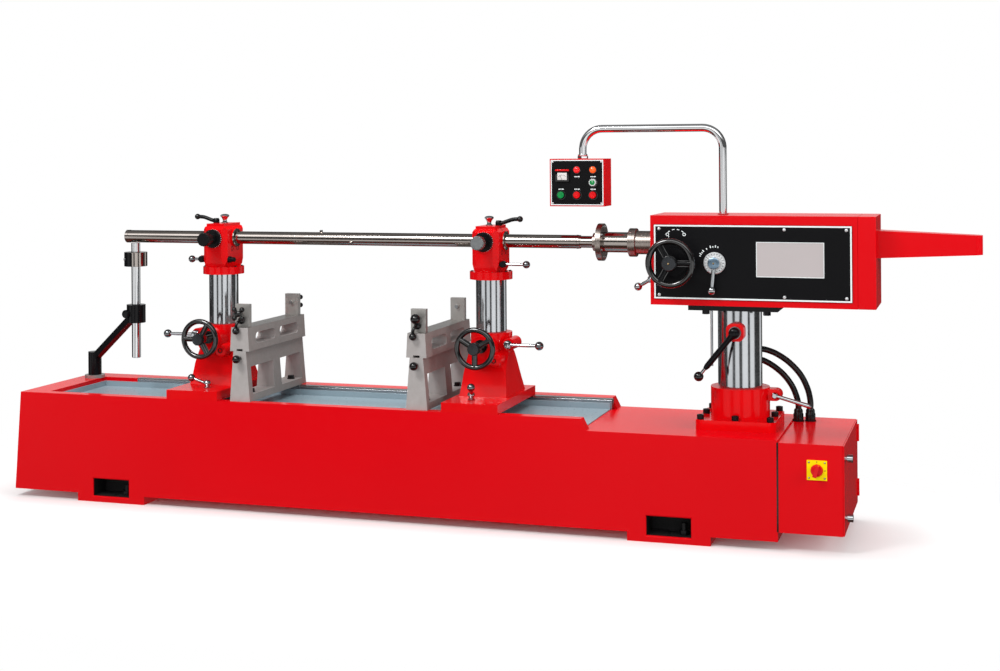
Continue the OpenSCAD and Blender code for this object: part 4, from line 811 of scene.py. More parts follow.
@dataclass
class Cabinet:
    """The electric cabinet on the bed's right end.

    Attributes:
        shop: shared jobs.
        front: distance of the front face from the bed's middle.
        door_x: outer face of the door.
        isolator: middle of the isolator, along X and Z.
        plate_half: half side of the isolator's plate.
        grip_lean: angle of the isolator's grip from the X axis.
        boots: where the conduits enter, along X and Y.
        top: height of the cabinet.
    """

    shop: Shop
    front: float = 255.0
    door_x: float = 1625.0
    isolator: Pair = (1539.0, 270.0)
    plate_half: float = 32.0
    grip_lean: float = 70.0
    boots: tuple[Pair, ...] = ((1432.0, 161.0), (1472.0, 172.0))
    top: float = 352.0

    def build(self) -> None:
        """Builds the cabinet's pieces."""
        self.shop.soften("electric_cabinet", "bed", PLATE_ENAMEL, 2.5,
                         [(lambda p: p.y < -self.front - 0.3, YELLOW_PLATE)])
        self.shop.soften("cabinet_door", "door", PLATE_ENAMEL, 2.0,
                         [(lambda p: p.x > self.door_x + 0.3 and p.y < 0, CHROME)])
        self.shop.soften("cabinet_fittings", "bed", BLACK_MOULDING, 1.0)
        self.isolator_switch()
        self.conduit_boots()

    def isolator_switch(self) -> None:
        """Builds the plate's screws and the knob."""
        x, z = self.isolator
        face = -self.front - 3
        screws = Maker("isolator_plate_screws", "bed", ZINC)
        inset = self.plate_half - 7
        screw_rows(screws, (x - inset, x + inset), face, (z - inset, z + inset), TO_FRONT, 3.0)
        screws.use(BLACK_MOULDING).box((x - 1, face - 0.5, z + 24), (x + 1, face + 0.5, z + 29), 0.2)
        screws.box((x + 24, face - 0.5, z - 1), (x + 29, face + 0.5, z + 1), 0.2)
        screws.done()
        knob = Maker("isolator_knob_moulding", "isolator", RED_BUTTON)
        knob.lathe([(20, 0), (20, 5), (18.5, 9), (15, 10.5)], (x, face - 0.3, z), TO_FRONT, 48)
        grip = [(-20, -5), (-17, -7), (15, -5), (19, -2), (19, 2), (15, 5), (-17, 7), (-20, 5)]
        knob.plate(grip, (x, face - 9, z), spoke(self.grip_lean), spoke(self.grip_lean + 90), 15)
        knob.done(["isolator_knob"])

    def conduit_boots(self) -> None:
        """Builds the fluted rubber boots over the glands."""
        boots = Maker("conduit_boots", "bed", RUBBER_AND_GAP_SHADE)
        for x, y in self.boots:
            boots.lathe([(20, 0), (20, 3), (17.5, 5), (17.5, 26), (15.5, 29), (15.5, 38), (12.4, 44)],
                        (x, y, self.top), UP, 48, 10, 2.0)
        boots.done()


@dataclass
class HeadColumn:
    """The collar, the round column, its clamp and the conduits.

    Attributes:
        shop: shared jobs.
        x: the column's place along the bed.
        clamp: axis of the collar's clamp, along X and Z.
        boss_z: height of the column's clamp boss.
        boss_y: front of that boss.
        handle_droop: the collar handle's angle below the level.
        lever_lean: the clamp lever's angle from straight down.
        stop_rod: the stop rod's place from the column, along X.
        plate_low: underside of the plate that the head stands on.
        gland_top: height below which that plate's node holds the conduits' glands.
        hose: diameter of the conduits.
        low_route: points of the lower conduit, from the column to the cabinet.
        high_route: points of the upper conduit.
    """

    shop: Shop
    x: float = 1255.0
    clamp: Pair = (1377.0, 468.0)
    boss_z: float = 686.0
    boss_y: float = -109.0
    handle_droop: float = 15.0
    lever_lean: float = 39.0
    stop_rod: float = -97.0
    plate_low: float = 756.0
    gland_top: float = 650.0
    hose: float = 21.0
    low_route: tuple[Point, ...] = (
        (1295.2, 110.3, 568), (1300.3, 124.4, 568), (1318, 150, 558.8), (1348, 166, 538.7), (1382, 170, 509.4),
        (1410, 167, 472.8), (1426, 163, 436.1), (1432, 161, 408.7), (1432, 161, 394))
    high_route: tuple[Point, ...] = (
        (1295.2, 110.3, 604), (1300.3, 124.4, 604), (1322, 152, 598.4), (1358, 172, 581.7), (1400, 180, 552),
        (1438, 180, 511.1), (1462, 176, 464.6), (1472, 172, 422.8), (1472, 172, 394))

    def build(self) -> None:
        """Builds the column's pieces."""
        self.conduit("lower_conduit", self.low_route, ["conduits"])
        self.conduit("upper_conduit", self.high_route)
        self.shop.soften("column_collar", "bed", CASTING_ENAMEL, 4.0)
        self.shop.soften("collar_bolts", "bed", BLACK_OXIDE, 1.0)
        self.shop.paint(GROUND_POST, "head_column")
        self.shop.soften("head_plate", "head", BLACK_ENAMEL, 1.5,
                         [(self.on_stop_rod, GROUND_POST), (lambda p: p.z < self.gland_top, RUBBER_AND_GAP_SHADE)])
        self.shop.soften("lock_boss", "head", CASTING_ENAMEL, 5.0)
        self.levers()

    def on_stop_rod(self, p: Vector) -> bool:
        """Tells whether a point lies on the stop rod."""
        return abs(p.x - self.x - self.stop_rod) < 6 and abs(p.y) < 6 and p.z < self.plate_low

    def conduit(self, name: str, route: Sequence[Point], replaces: Iterable[str] = ()) -> None:
        """Builds one rubber conduit along its route, fixed where it is made.

        Args:
            name: name of the piece.
            route: the points that it passes.
            replaces: CAD nodes that it stands for.
        """
        line = smooth_line(route, 6)
        piece = Maker(name, "", RUBBER_AND_GAP_SHADE).tube(line, self.hose / 2, 24).done(replaces, angle=50)
        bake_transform(piece)

    def levers(self) -> None:
        """Builds the collar's clamp handle and the column's clamp lever."""
        x, z = self.clamp
        handle = Maker("collar_clamp_handle", "clamp_handle", CHROME)
        handle.lathe([(10, 0), (11, 2), (11, 16), (7, 20)], (x, -24.3, z), TO_FRONT, 32)
        handle.lathe([(8, 0), (8, 48)], (x, 24, z), TO_FRONT, 24)
        handle.lathe([(6.8, 0), (7, 50), (7.6, 96), (8.2, 112), (7.2, 121), (3.5, 125)], (x, -35.3, z),
                     spoke(-self.handle_droop), 24)
        handle.done(["collar_handle"])
        lever = Maker("column_clamp_lever", "head_lock", BLACK_ENAMEL)
        y = self.boss_y - 0.3
        lever.use(ZINC).lathe([(21, 0), (21, 4)], (self.x, y, self.boss_z), TO_FRONT, 36)
        lever.lathe([(8, -44), (8, 1)], (self.x, y, self.boss_z), TO_FRONT, 24)
        lever.use(BLACK_ENAMEL).lathe([(18, 4), (18.5, 7), (18.5, 20), (15, 25), (8, 28)],
                                      (self.x, y, self.boss_z), TO_FRONT, 36)
        way = spoke(-90 - self.lever_lean)
        start = Vector((self.x, y - 15, self.boss_z))
        lever.lathe([(13, 0), (11, 20), (9.2, 34), (10.5, 90), (10, 146), (7, 158)], start, way, 28)
        lever.use(CHROME).lathe([(5.6, 156), (5.6, 180)], start, way, 20)
        lever.use(BLACK_MOULDING).ball(start + way * 192, 16.5, way)
        lever.done(["column_lock_lever"])


def smooth_line(points: Sequence[Point], steps: int) -> list[Vector]:
    """Draws a smooth line through points.

    Args:
        points: points that the line passes.
        steps: pieces between two points.

    Returns:
        Points along the line, with the first and last as given.
    """
    p = [Vector(q) for q in points]
    line = []
    for i in range(len(p) - 1):
        a, b = p[i], p[i + 1]
        ta = (b - p[max(i - 1, 0)]) / 2
        tb = (p[min(i + 2, len(p) - 1)] - a) / 2
        for k in range(steps):
            t = k / steps
            line.append(a * (2 * t ** 3 - 3 * t ** 2 + 1) + ta * (t ** 3 - 2 * t ** 2 + t)
                        + b * (3 * t ** 2 - 2 * t ** 3) + tb * (t ** 3 - t ** 2))
    line.append(p[-1])
    return line


def border(maker: Maker, low: Pair, high: Pair, y: float, width: float,
           thick: float) -> None:
    """Adds a printed line round a panel that faces the front.

    Args:
        maker: piece to add to.
        low: lowest corner, along X and Z.
        high: highest corner, along X and Z.
        y: face of the panel.
        width: width of the line.
        thick: how far it stands proud.
    """
    (x0, z0), (x1, z1) = low, high
    for a, b in (((x0, z0), (x1, z0 + width)), ((x0, z1 - width), (x1, z1)),
                 ((x0, z0 + width), (x0 + width, z1 - width)), ((x1 - width, z0 + width), (x1, z1 - width))):
        maker.box((a[0], y - thick, a[1]), (b[0], y + 0.2, b[1]), 0)


@dataclass
class Head:
    """The spindle head: case, panel, controls, spindle, bar and drive.

    Attributes:
        shop: shared jobs.
        panel_y: front of the control panel.
        panel_low: its lowest corner, along X and Z.
        panel_high: its highest corner.
        screen_low: lowest corner of the display.
        screen_high: highest corner of the display.
        spindle_z: height of the spindle.
        feed: axis of the feed wheel, along X and Z.
        feed_y: middle of the feed wheel's rim.
        selector: axis of the selector, along X and Z.
        selector_lean: angle of its arm below the X axis.
        quill_clamp: foot of the short lever on the case's left face.
        shaft_y: end of the feed wheel's shaft behind the panel.
        dial_y: front of the dial behind the feed wheel.
        bar_r: radius of the boring bar.
        cutters: the stretch of the bar that holds its cutters, along X.
        coupling_x: right face of the bar's coupling.
        bolt_r: radius of the coupling's ring of bolts.
        tail_x: end of the tail.
        back: rear face of the case.
        cover_low: lowest corner of the service cover, along X and Z.
        cover_high: its highest corner.
        louvre: half length of the cover's louvres.
    """

    shop: Shop
    panel_y: float = -124.0
    panel_low: Pair = (983.0, 796.0)
    panel_high: Pair = (1643.0, 1048.0)
    screen_low: Pair = (1331.0, 876.5)
    screen_high: Pair = (1552.0, 991.5)
    spindle_z: float = 978.0
    feed: Pair = (1053.0, 922.0)
    feed_y: float = -196.0
    selector: Pair = (1191.0, 920.0)
    selector_lean: float = 95.0
    quill_clamp: Triple = (969.7, -55.0, 855.0)
    shaft_y: float = -110.0
    dial_y: float = -180.0
    bar_r: float = 24.0
    cutters: Pair = (-330.0, -20.0)
    coupling_x: float = 780.0
    bolt_r: float = 53.0
    tail_x: float = 2051.0
    back: float = 120.0
    cover_low: Pair = (1060.0, 816.0)
    cover_high: Pair = (1560.0, 1056.0)
    louvre: float = 70.0

    def build(self) -> None:
        """Builds the head's pieces."""
        self.shop.soften("head_case", "head", PLATE_ENAMEL, 4.0)
        self.shop.soften("head_end_cover", "head", PLATE_ENAMEL, 4.0)
        self.shop.soften("tail_cover", "head", PLATE_ENAMEL, 5.0, wide=(self.at_tail_tip, 12.0))
        self.shop.soften("spindle_nose", "head", TURNED_STEEL, 2.0)
        self.shop.paint(GROUND_BAR, "quill")
        self.shop.paint(ZINC, "spindle_pulley", "motor_pulley")
        self.shop.paint(RUBBER_AND_GAP_SHADE, "drive_belt")
        self.shop.paint(CAST_GREY, "drive_motor")
        self.panel()
        self.rear_cover()
        self.feed_wheel()
        self.selector_lever()
        self.bar()

    def at_tail_tip(self, p: Vector) -> bool:
        """Tells whether a point lies on the end of the tail."""
        return p.x > self.tail_x - 2

    def on_screen(self, p: Vector) -> bool:
        """Tells whether a point lies on the display."""
        return (self.screen_low[0] - 1 < p.x < self.screen_high[0] + 1
                and self.screen_low[1] - 1 < p.z < self.screen_high[1] + 1 and p.y < self.panel_y + 3)

    def on_cutter(self, p: Vector) -> bool:
        """Tells whether a point lies on a cutter that stands out of the bar."""
        return (self.cutters[0] < p.x < self.cutters[1]
                and math.hypot(p.y, p.z - self.spindle_z) > self.bar_r + 0.6)

    def panel(self) -> None:
        """Builds the panel with its printed line, marks, screws and display."""
        self.shop.soften("control_panel", "head", PANEL_BLACK, 0.8, [(self.on_screen, SCREEN)])
        (x0, z0), (x1, z1) = self.panel_low, self.panel_high
        print_ = Maker("panel_printing", "head", PANEL_WHITE)
        border(print_, (x0 + 1, z0 + 1), (x1 - 1, z1 - 1), self.panel_y, 5.0, 0.5)
        border(print_, (self.screen_low[0] - 1, self.screen_low[1] - 1),
               (self.screen_high[0] + 1, self.screen_high[1] + 1), self.panel_y, 2.0, 0.9)
        self.marks(print_)
        print_.done()
        screws = Maker("panel_screws", "head", SATIN_CHROME)
        screw_rows(screws, (x0 + 18, x0 + 440, x1 - 18), self.panel_y, (z0 + 14, z1 - 14), TO_FRONT, 5.5)
        screws.done()

    def rear_cover(self) -> None:
        """Builds the service cover on the case's back, with pressed louvres and screws."""
        (x0, z0), (x1, z1) = self.cover_low, self.cover_high
        face = self.back + 3
        cover = Maker("head_rear_cover", "head", PLATE_ENAMEL)
        cover.box((x0, self.back - 0.5, z0), (x1, face, z1), 1.2)
        lip = [(-1, -6), (6, -6), (7.5, -4), (6, 0), (-1, 7)]
        for x in (x0 + 130, x1 - 130):
            for k in range(6):
                z, half = z0 + 70 + 20 * k, self.louvre
                cover.use(PLATE_ENAMEL).plate(lip, (x - half, face, z), TO_BACK, UP, 2 * half)
                # Under each louvre a black strip stands for the shade in its slit: painted shade.
                cover.use(PAINTED_SHADE_BLACK).box((x - half + 2, face - 1, z - 7), (x + half - 2, face + 5, z - 5.9), 0)
        screw_rows(cover.use(ZINC), (x0 + 15, (x0 + x1) / 2, x1 - 15), face, (z0 + 15, z1 - 15), TO_BACK, 6.0)
        cover.done()

    def marks(self, print_: Maker) -> None:
        """Adds the dial arcs and ticks beside the feed wheel and the selector.

        Args:
            print_: the printed piece to add to.
        """
        y = self.panel_y - 0.2
        fx, fz = self.feed
        arc = [Vector((fx + 6, y, fz + 70)) + spoke(a) * 40 for a in range(48, 133, 12)]
        for a, b in zip(arc[::2], arc[1::2]):
            print_.tube([a, b], 1.5, 8)
        for end, side in ((arc[0], 1), (arc[-1], -1)):
            print_.hoop((end[0] + 2 * side, y, end[2] - 7), TO_BACK, 4.6, 2.4, 0.4)
        print_.tube([(arc[-1][0], y, arc[-1][2] - 10), (arc[-1][0] + 3, y, arc[-1][2] - 17)], 1.5, 8)
        sx, sz = self.selector
        for k, a in enumerate((78, 87, 96, 105, 120, 134, 141, 148, 155)):
            middle, out = Vector((sx, y, sz)), spoke(a)
            print_.tube([middle + out * 52, middle + out * (57 + 3 * (k % 2))], 1.8, 8)

    def feed_wheel(self) -> None:
        """Builds the feed handwheel with its hub cap and spokes."""
        self.shop.soften("feed_wheel", "feed", GLOSS_BLACK, 2.5,
                         [(lambda p: p.y > self.shaft_y, GROUND_BAR), (lambda p: p.y > self.dial_y, PANEL_BLACK)])
        x, z = self.feed
        cap = Maker("feed_wheel_cap", "feed", TURNED_BLACK)
        front = self.feed_y - 20
        cap.lathe([(24, 0), (25, 2), (25, 9), (23, 11), (9, 11.5)], (x, front + 4, z), TO_FRONT, 12)
        cap.use(BLACK_ENAMEL).lathe([(26, -12), (27, -10), (27, -1), (24, 1)], (x, front + 4, z), TO_FRONT, 40)
        screw_head(cap.use(BUSH), (x, front - 7.4, z), TO_FRONT, 4)
        cap.use(BLACK_ENAMEL)
        middle = Vector((x, self.feed_y, z))
        for k in range(3):
            cap.tube([middle + spoke(-120 * k) * r for r in (20, 46, 70)], [10.5, 9.5, 11.0], 16)
        cap.done()

    def selector_lever(self) -> None:
        """Builds the selector with its dial and the short lever on the head's left face."""
        x, z = self.selector
        y = self.panel_y - 0.3
        lever = Maker("selector_with_dial", "selector", SATIN_CHROME)
        lever.lathe([(10, -24), (10, 0), (36, 0), (37, 1.5), (37, 6), (34, 9), (24, 9)], (x, y, z), TO_FRONT, 56)
        dial = Vector((x, y - 9, z))
        for k in range(20):
            lever.use(BLACK_OXIDE).tube([dial + spoke(18 * k) * 28, dial + spoke(18 * k) * 33], 0.9, 6)
        lever.use(SATIN_CHROME).lathe([(23, 8), (23, 20), (21, 24)], (x, y, z), TO_FRONT, 48)
        lever.use(BLUE_HUB).lathe([(20, 23), (20, 25), (17, 26.5)], (x, y, z), TO_FRONT, 48)
        screw_head(lever.use(BUSH), (x, y - 26.4, z), TO_FRONT, 3.5)
        arm(lever.use(CHROME), (x, y - 16, z), spoke(-self.selector_lean), 92, 17, 28, CHROME)
        lever.done(["selector_lever"])
        short = Maker("quill_clamp_lever", "quill_clamp", CHROME)
        x, y, z = self.quill_clamp
        short.lathe([(6, -17), (6, 0), (12, 0), (12, 18), (9, 22)], (x, y, z), TO_LEFT, 28)
        arm(short, (x - 12, y, z), spoke(-150), 52, 15, 28, CHROME)
        short.done(["quill_lever"])

    def bar(self) -> None:
        """Builds the boring bar with its cutters, coupling bolts and turned bands."""
        self.shop.soften("boring_bar", "bar", GROUND_BAR, 1.5,
                         [(self.on_cutter, ZINC),
                          (lambda p: self.coupling_x - 45 < p.x < self.coupling_x + 1, TURNED_STEEL)])
        trim = Maker("bar_trim", "bar", ZINC)
        for k in range(6):
            a = math.radians(60 * k + 30)
            at = (self.coupling_x, self.bolt_r * math.cos(a), self.spindle_z + self.bolt_r * math.sin(a))
            hex_head(trim, at, TO_RIGHT, 5.5, 5)
        trim.use(GROUND_BAR)
        r = self.bar_r
        for x, length in ((-1130, 15), (680, 6)):
            trim.lathe([(r, 0), (r + 0.9, 0.8), (r + 0.9, length - 0.8), (r, length)],
                       (x, 0, self.spindle_z), TO_RIGHT, 56)
        trim.done()


@dataclass
class Pendant:
    """The operator's box on its bent pipe.

    Attributes:
        shop: shared jobs.
        x: middle of the box.
        low: bottom of the box.
        high: top of the box.
        half: half width of the box.
        front: front face of the box.
        column: distance from the middle key to the outer ones.
        rows: heights of the three rows of keys.
        pipe_x: the pipe's two legs, along X.
        pipe_z: top of the head and axis of the pipe's level run.
        pipe_r: radius of the pipe.
        bend: radius of its bends.
    """

    shop: Shop
    x: float = 695.0
    low: float = 1105.0
    high: float = 1272.0
    half: float = 99.0
    front: float = -50.0
    column: float = 58.0
    rows: Triple = (1145.0, 1189.0, 1233.0)
    pipe_x: Pair = (704.0, 1200.0)
    pipe_z: Pair = (1079.0, 1377.0)
    pipe_r: float = 13.5
    bend: float = 70.0

    def build(self) -> None:
        """Builds the pendant's pieces."""
        self.shop.soften("pendant_box", "pendant", PLATE_ENAMEL, 2.0,
                         [(lambda p: p.y < self.front - 0.4, BLACK_MOULDING)])
        self.pipe()
        printing = Maker("pendant_printing", "pendant", PANEL_BLACK)
        low, high = (self.x - self.half + 4, self.low + 4), (self.x + self.half - 4, self.high - 4)
        printing.box((low[0], self.front - 0.8, low[1]), (high[0], self.front + 0.5, high[1]), 0)
        border(printing.use(PANEL_WHITE), low, high, self.front - 0.8, 3.2, 0.4)
        for z in self.rows[:2]:
            for k in (-1, 0, 1):
                at = self.x + k * self.column
                for dx, wide in ((-9, 5), (-2.5, 4), (3, 7)):
                    printing.box((at + dx, self.front - 1.2, z + 18.5), (at + dx + wide, self.front - 0.6, z + 22), 0)
        printing.done()
        screws = Maker("pendant_screws", "pendant", SATIN_CHROME)
        screw_rows(screws, (self.x - self.half + 11, self.x + self.half - 11), self.front - 0.8,
                   (self.low + 11, self.high - 11), TO_FRONT, 3.5)
        screws.done()
        self.lamps()
        self.meter()
        self.keys()

    def pipe(self) -> None:
        """Builds the bent pipe with its foot ring and the nut on the box."""
        (x0, x1), (z0, z1), bend = self.pipe_x, self.pipe_z, self.bend
        turns = [math.radians(7.5 * k) for k in range(13)]
        line = [(x1, 0, z0 - 8), (x1, 0, z0 + 60)]
        line += [(x1 - bend + bend * math.cos(a), 0, z1 - bend + bend * math.sin(a)) for a in turns]
        line += [(x0 + bend - bend * math.sin(a), 0, z1 - bend + bend * math.cos(a)) for a in turns]
        pipe = Maker("pendant_pipe", "pendant", POLISHED_TUBE)
        pipe.tube(line + [(x0, 0, self.high)], self.pipe_r, 40)
        pipe.lathe([(17, 0), (19, 1), (19, 4), (15, 5)], (x1, 0, z0), UP, 40)
        pipe.lathe([(18, 0), (19.4, 1.5), (19.4, 8), (17, 10)], (x0, 0, self.high), UP, 6)
        pipe.lathe([(17, 9), (17.5, 11), (17.5, 14), (14.5, 16)], (x0, 0, self.high), UP, 40)
        pipe.done(["pendant_arm"])

    def lamps(self) -> None:
        """Builds the two lamps in the top row."""
        lamps = Maker("pendant_lamps", "pendant", CHROME)
        for x, lens in ((self.x, RED_LENS), (self.x + self.column, AMBER_LENS)):
            at = (x, self.front, self.rows[2])
            lamps.use(BLACK_MOULDING).lathe([(15, 0), (15, 2.5), (13.5, 4), (11.5, 4)], at, TO_FRONT, 36)
            lamps.use(lens).lathe([(11.5, 2), (11.5, 6), (10, 9), (6, 11), (2, 11.5)], at, TO_FRONT, 36)
        lamps.done()

    def meter(self) -> None:
        """Builds the small load meter with its red head strip and scale."""
        x, z = self.x - self.column + 6, (self.rows[1] + self.rows[2]) / 2 + 2
        meter = Maker("load_meter", "pendant", BLACK_MOULDING)
        y = self.front
        meter.box((x - 25, y - 8, z - 22), (x + 25, y + 0.5, z + 22), 2)
        # The meter's card glows faintly: painted light.
        meter.use(DIAL_FACE).box((x - 17, y - 8.8, z - 15), (x + 17, y - 7, z + 10), 0.5)
        meter.use(RED_BUTTON).box((x - 25, y - 11, z + 16), (x + 25, y - 4, z + 22), 1.5)
        meter.use(BLACK_OXIDE)
        foot = Vector((x, y - 8.9, z - 15))
        for a in range(45, 136, 15):
            meter.tube([foot + spoke(a) * 15, foot + spoke(a) * 19], 0.6, 6)
        meter.tube([(x, y - 9, z - 14), (x - 8, y - 9, z + 2)], 0.6, 6)
        meter.done()

    def keys(self) -> None:
        """Builds the three push buttons and the speed knob."""
        for node, body, k, finish, reach in (("start_button", "start", -1, GREEN_BUTTON, 7.0),
                                             ("jog_button", "jog", 0, RED_BUTTON, 7.0),
                                             ("stop_button", "stop", 1, RED_BUTTON, 10.0)):
            at = (self.x + k * self.column, self.front - 3.3, self.rows[0])
            key = Maker(f"{node}_cap", body, finish)
            key.lathe([(9, -15), (9, 0), (11.6, 0), (12.2, 1.2), (12.2, reach - 1.6), (11, reach), (8, reach - 0.6),
                       (4, reach - 0.9)], at, TO_FRONT, 40).done([node])
        knob = Maker("speed_knob_turned", "speed", ZINC)
        at = (self.x + self.column, self.front - 3.3, self.rows[1])
        knob.use(SATIN_CHROME).lathe([(6, -12), (6, 0), (14, 0), (14, 6), (12.5, 9), (9, 9)], at, TO_FRONT,
                                     48, 12, 1.2)
        knob.use(GREEN_BUTTON).lathe([(9, 7), (9, 9.4), (8, 10)], at, TO_FRONT, 32)
        knob.use(PANEL_WHITE).box((at[0] - 0.8, at[1] - 10.3, at[2] + 1), (at[0] + 0.8, at[1] - 9.4, at[2] + 8), 0)
        knob.done(["speed_knob"])


class Side(Enum):
    """The two uprights and supports, with the way that their levers point."""

    LEFT = -1
    RIGHT = 1


@dataclass
class Upright:
    """One bearing upright: pedestal, lifting column, bearing housing and its levers.

    Attributes:
        shop: shared jobs.
        side: which upright it is.
        x: its place along the bed.
        micrometer_finish: finish of the micrometer's grip.
        bar_z: height of the boring bar.
        housing_half: half length of the bearing housing.
        housing_top: top of the bearing housing.
        bush_r: radius of the bar's bush.
        ring_r: radius of the ring of bolts under the housing.
        wheel: middle of the lift wheel, along Y and Z.
        lug: front of the clamp lug, with X from the upright's axis.
        lock: axis of the column's lock lever: X outward from the upright's axis, and Z.
        base_foot: foot of the base's clamp lever, with X outward from the upright's axis.
        side_hub: hub of the side lever, with X outward from the upright's axis.
        set_screw_z: height of the housing's set screws.
        ring_top: top of the ring under the housing.
        cross_y: front of the housing, where the micrometer starts.
    """

    shop: Shop
    side: Side
    x: float
    micrometer_finish: Finish
    bar_z: float = 978.0
    housing_half: float = 50.0
    housing_top: float = 1033.0
    bush_r: float = 35.6
    ring_r: float = 69.0
    wheel: Pair = (-190.0, 612.0)
    lug: Triple = (46.0, -108.0, 562.0)
    lock: Pair = (82.0, 614.0)
    base_foot: Triple = (-20.0, -172.0, 431.3)
    side_hub: Triple = (63.0, -42.0, 898.0)
    set_screw_z: float = 938.0
    ring_top: float = 869.0
    cross_y: float = -80.3

    @property
    def name(self) -> str:
        """Gives the start of this upright's node and body names."""
        return self.side.name.lower()

    def at(self, dx: float, y: float, z: float) -> Vector:
        """Places a point given from the upright's axis, outward along X."""
        return Vector((self.x + self.side.value * dx, y, z))

    def in_bush(self, p: Vector) -> bool:
        """Tells whether a point lies on the bar's bush."""
        return abs(p.x - self.x) > self.housing_half - 0.4 and math.hypot(p.y, p.z - self.bar_z) < self.bush_r

    def build(self) -> None:
        """Builds the upright's pieces."""
        n = self.name
        self.shop.soften(f"{n}_pedestal", f"{n}_base", CASTING_ENAMEL, 4.0)
        self.shop.paint(GROUND_POST, f"{n}_column")
        self.shop.soften(f"{n}_housing", f"{n}_column", CASTING_ENAMEL, 3.5,
                         [(self.in_bush, GROUND_BAR)], drop=lambda p: p.z > self.housing_top + 0.2)
        self.housing_trim()
        self.lift_wheel()
        self.pedestal_levers()
        self.housing_levers()
        self.micrometer()

    def housing_trim(self) -> None:
        """Builds the set screws, the bush's lips, the bolts of the ring below and the oil cap."""
        trim = Maker(f"{self.name}_housing_trim", f"{self.name}_column", BLACK_OXIDE)
        for way in (-1, 1):
            for y in (-26, 18):
                trim.lathe([(9, -3), (9, 0.6), (7, 0.6), (6.5, -2)],
                           (self.x + way * self.housing_half, y, self.set_screw_z), (way, 0, 0), 28)
            trim.use(GROUND_BAR).lathe([(27, 4), (34, 4), (35, 6), (34, 9), (29, 10), (25.5, 7)],
                                       (self.x + way * self.housing_half, 0, self.bar_z), (way, 0, 0), 56)
            trim.use(BLACK_OXIDE)
        if self.side is Side.LEFT:
            trim.lathe([(12, -2), (12, 9), (9, 11), (9, 24), (6, 26)],
                       (self.x + self.housing_half, -52, self.side_hub[2]), TO_RIGHT, 28)
        for k in range(8):
            a = math.radians(45 * k + 22)
            at = (self.x + self.ring_r * math.cos(a), self.ring_r * math.sin(a), self.ring_top)
            screw_head(trim, at, UP, 5)
        cup = self.at(-6, 0, self.housing_top - 0.5)
        trim.use(CHROME).lathe([(13, 0), (13, 3), (8.5, 5), (7.5, 10), (8.5, 15), (12, 21), (16.5, 26), (17, 29),
                                (15, 32), (8, 34.5), (3, 35)], cup, UP, 40)
        trim.done()

    def lift_wheel(self) -> None:
        """Builds the lift handwheel with its hub cap and spokes, and the clamp lug beside it."""
        n = self.name
        y, z = self.wheel
        self.shop.soften(f"{n}_lift_wheel", f"{n}_lift_wheel", GLOSS_BLACK, 2.5,
                         [(lambda p: p.y > y + 20 and math.hypot(p.x - self.x, p.z - z) < 14, GROUND_BAR)])
        cap = Maker(f"{n}_wheel_cap", f"{n}_lift_wheel", TURNED_BLACK)
        cap.lathe([(21, -6), (22, -4), (22, 6), (20, 9), (8, 9.5)], (self.x, y - 14, z), TO_FRONT, 10)
        cap.use(GLOSS_BLACK).lathe([(19, -30), (22, -10), (23, -5)], (self.x, y - 14, z), TO_FRONT, 32)
        first, middle = (180 if self.side is Side.LEFT else 30), Vector((self.x, y, z))
        for k in range(3):
            way = spoke(first - self.side.value * 120 * k)
            cap.tube([middle + way * r for r in (16, 40, 64)], [9.5, 8.5, 10.0], 16)
        cap.done()
        lug = Maker(f"{n}_clamp_lug", f"{n}_base", CASTING_ENAMEL)
        dx, lug_y, lug_z = self.lug
        seat = (self.x + dx, lug_y, lug_z)
        lug.lathe([(26, -46), (25, 0), (22, 8), (14, 11)], seat, TO_FRONT, 40)
        lug.use(BLACK_OXIDE).lathe([(9, 9), (9, 12), (6, 12), (6, 10)], seat, TO_FRONT, 24)
        lug.done()

    def pedestal_levers(self) -> None:
        """Builds the column's lock lever and the base's clamp lever."""
        n, o = self.name, self.side.value
        lock = Maker(f"{n}_column_lock", f"{n}_lock_lever", CHROME)
        dx, z = self.lock
        hub = self.at(dx, -60.3, z)
        lock.lathe([(8, -14), (8, 0), (16, 0), (16, 18), (13, 24), (8, 26)], hub, TO_FRONT, 36)
        arm(lock, self.at(dx, -73.3, z), (o, 0, 0), 118, 15, 31, STEEL_BALL)
        lock.done([f"{n}_lock_lever"])
        clamp = Maker(f"{n}_base_clamp", f"{n}_base_lever", CHROME)
        foot = self.at(*self.base_foot)
        clamp.lathe([(7, -12), (7, 0), (13, 0), (13, 3), (8.5, 5), (8.5, 9), (13, 13), (14, 19), (11, 25), (5, 28)],
                    foot, UP, 32)
        left = self.side is Side.LEFT
        rise, turn, reach = math.radians(20 if left else 38), math.radians(190 if left else 288), 64 if left else 58
        way = (math.cos(rise) * math.cos(turn), math.cos(rise) * math.sin(turn), math.sin(rise))
        arm(clamp, foot + Vector((0, 0, 14)), way, reach, 14, 28, STEEL_BALL)
        clamp.done([f"{n}_base_lever"])

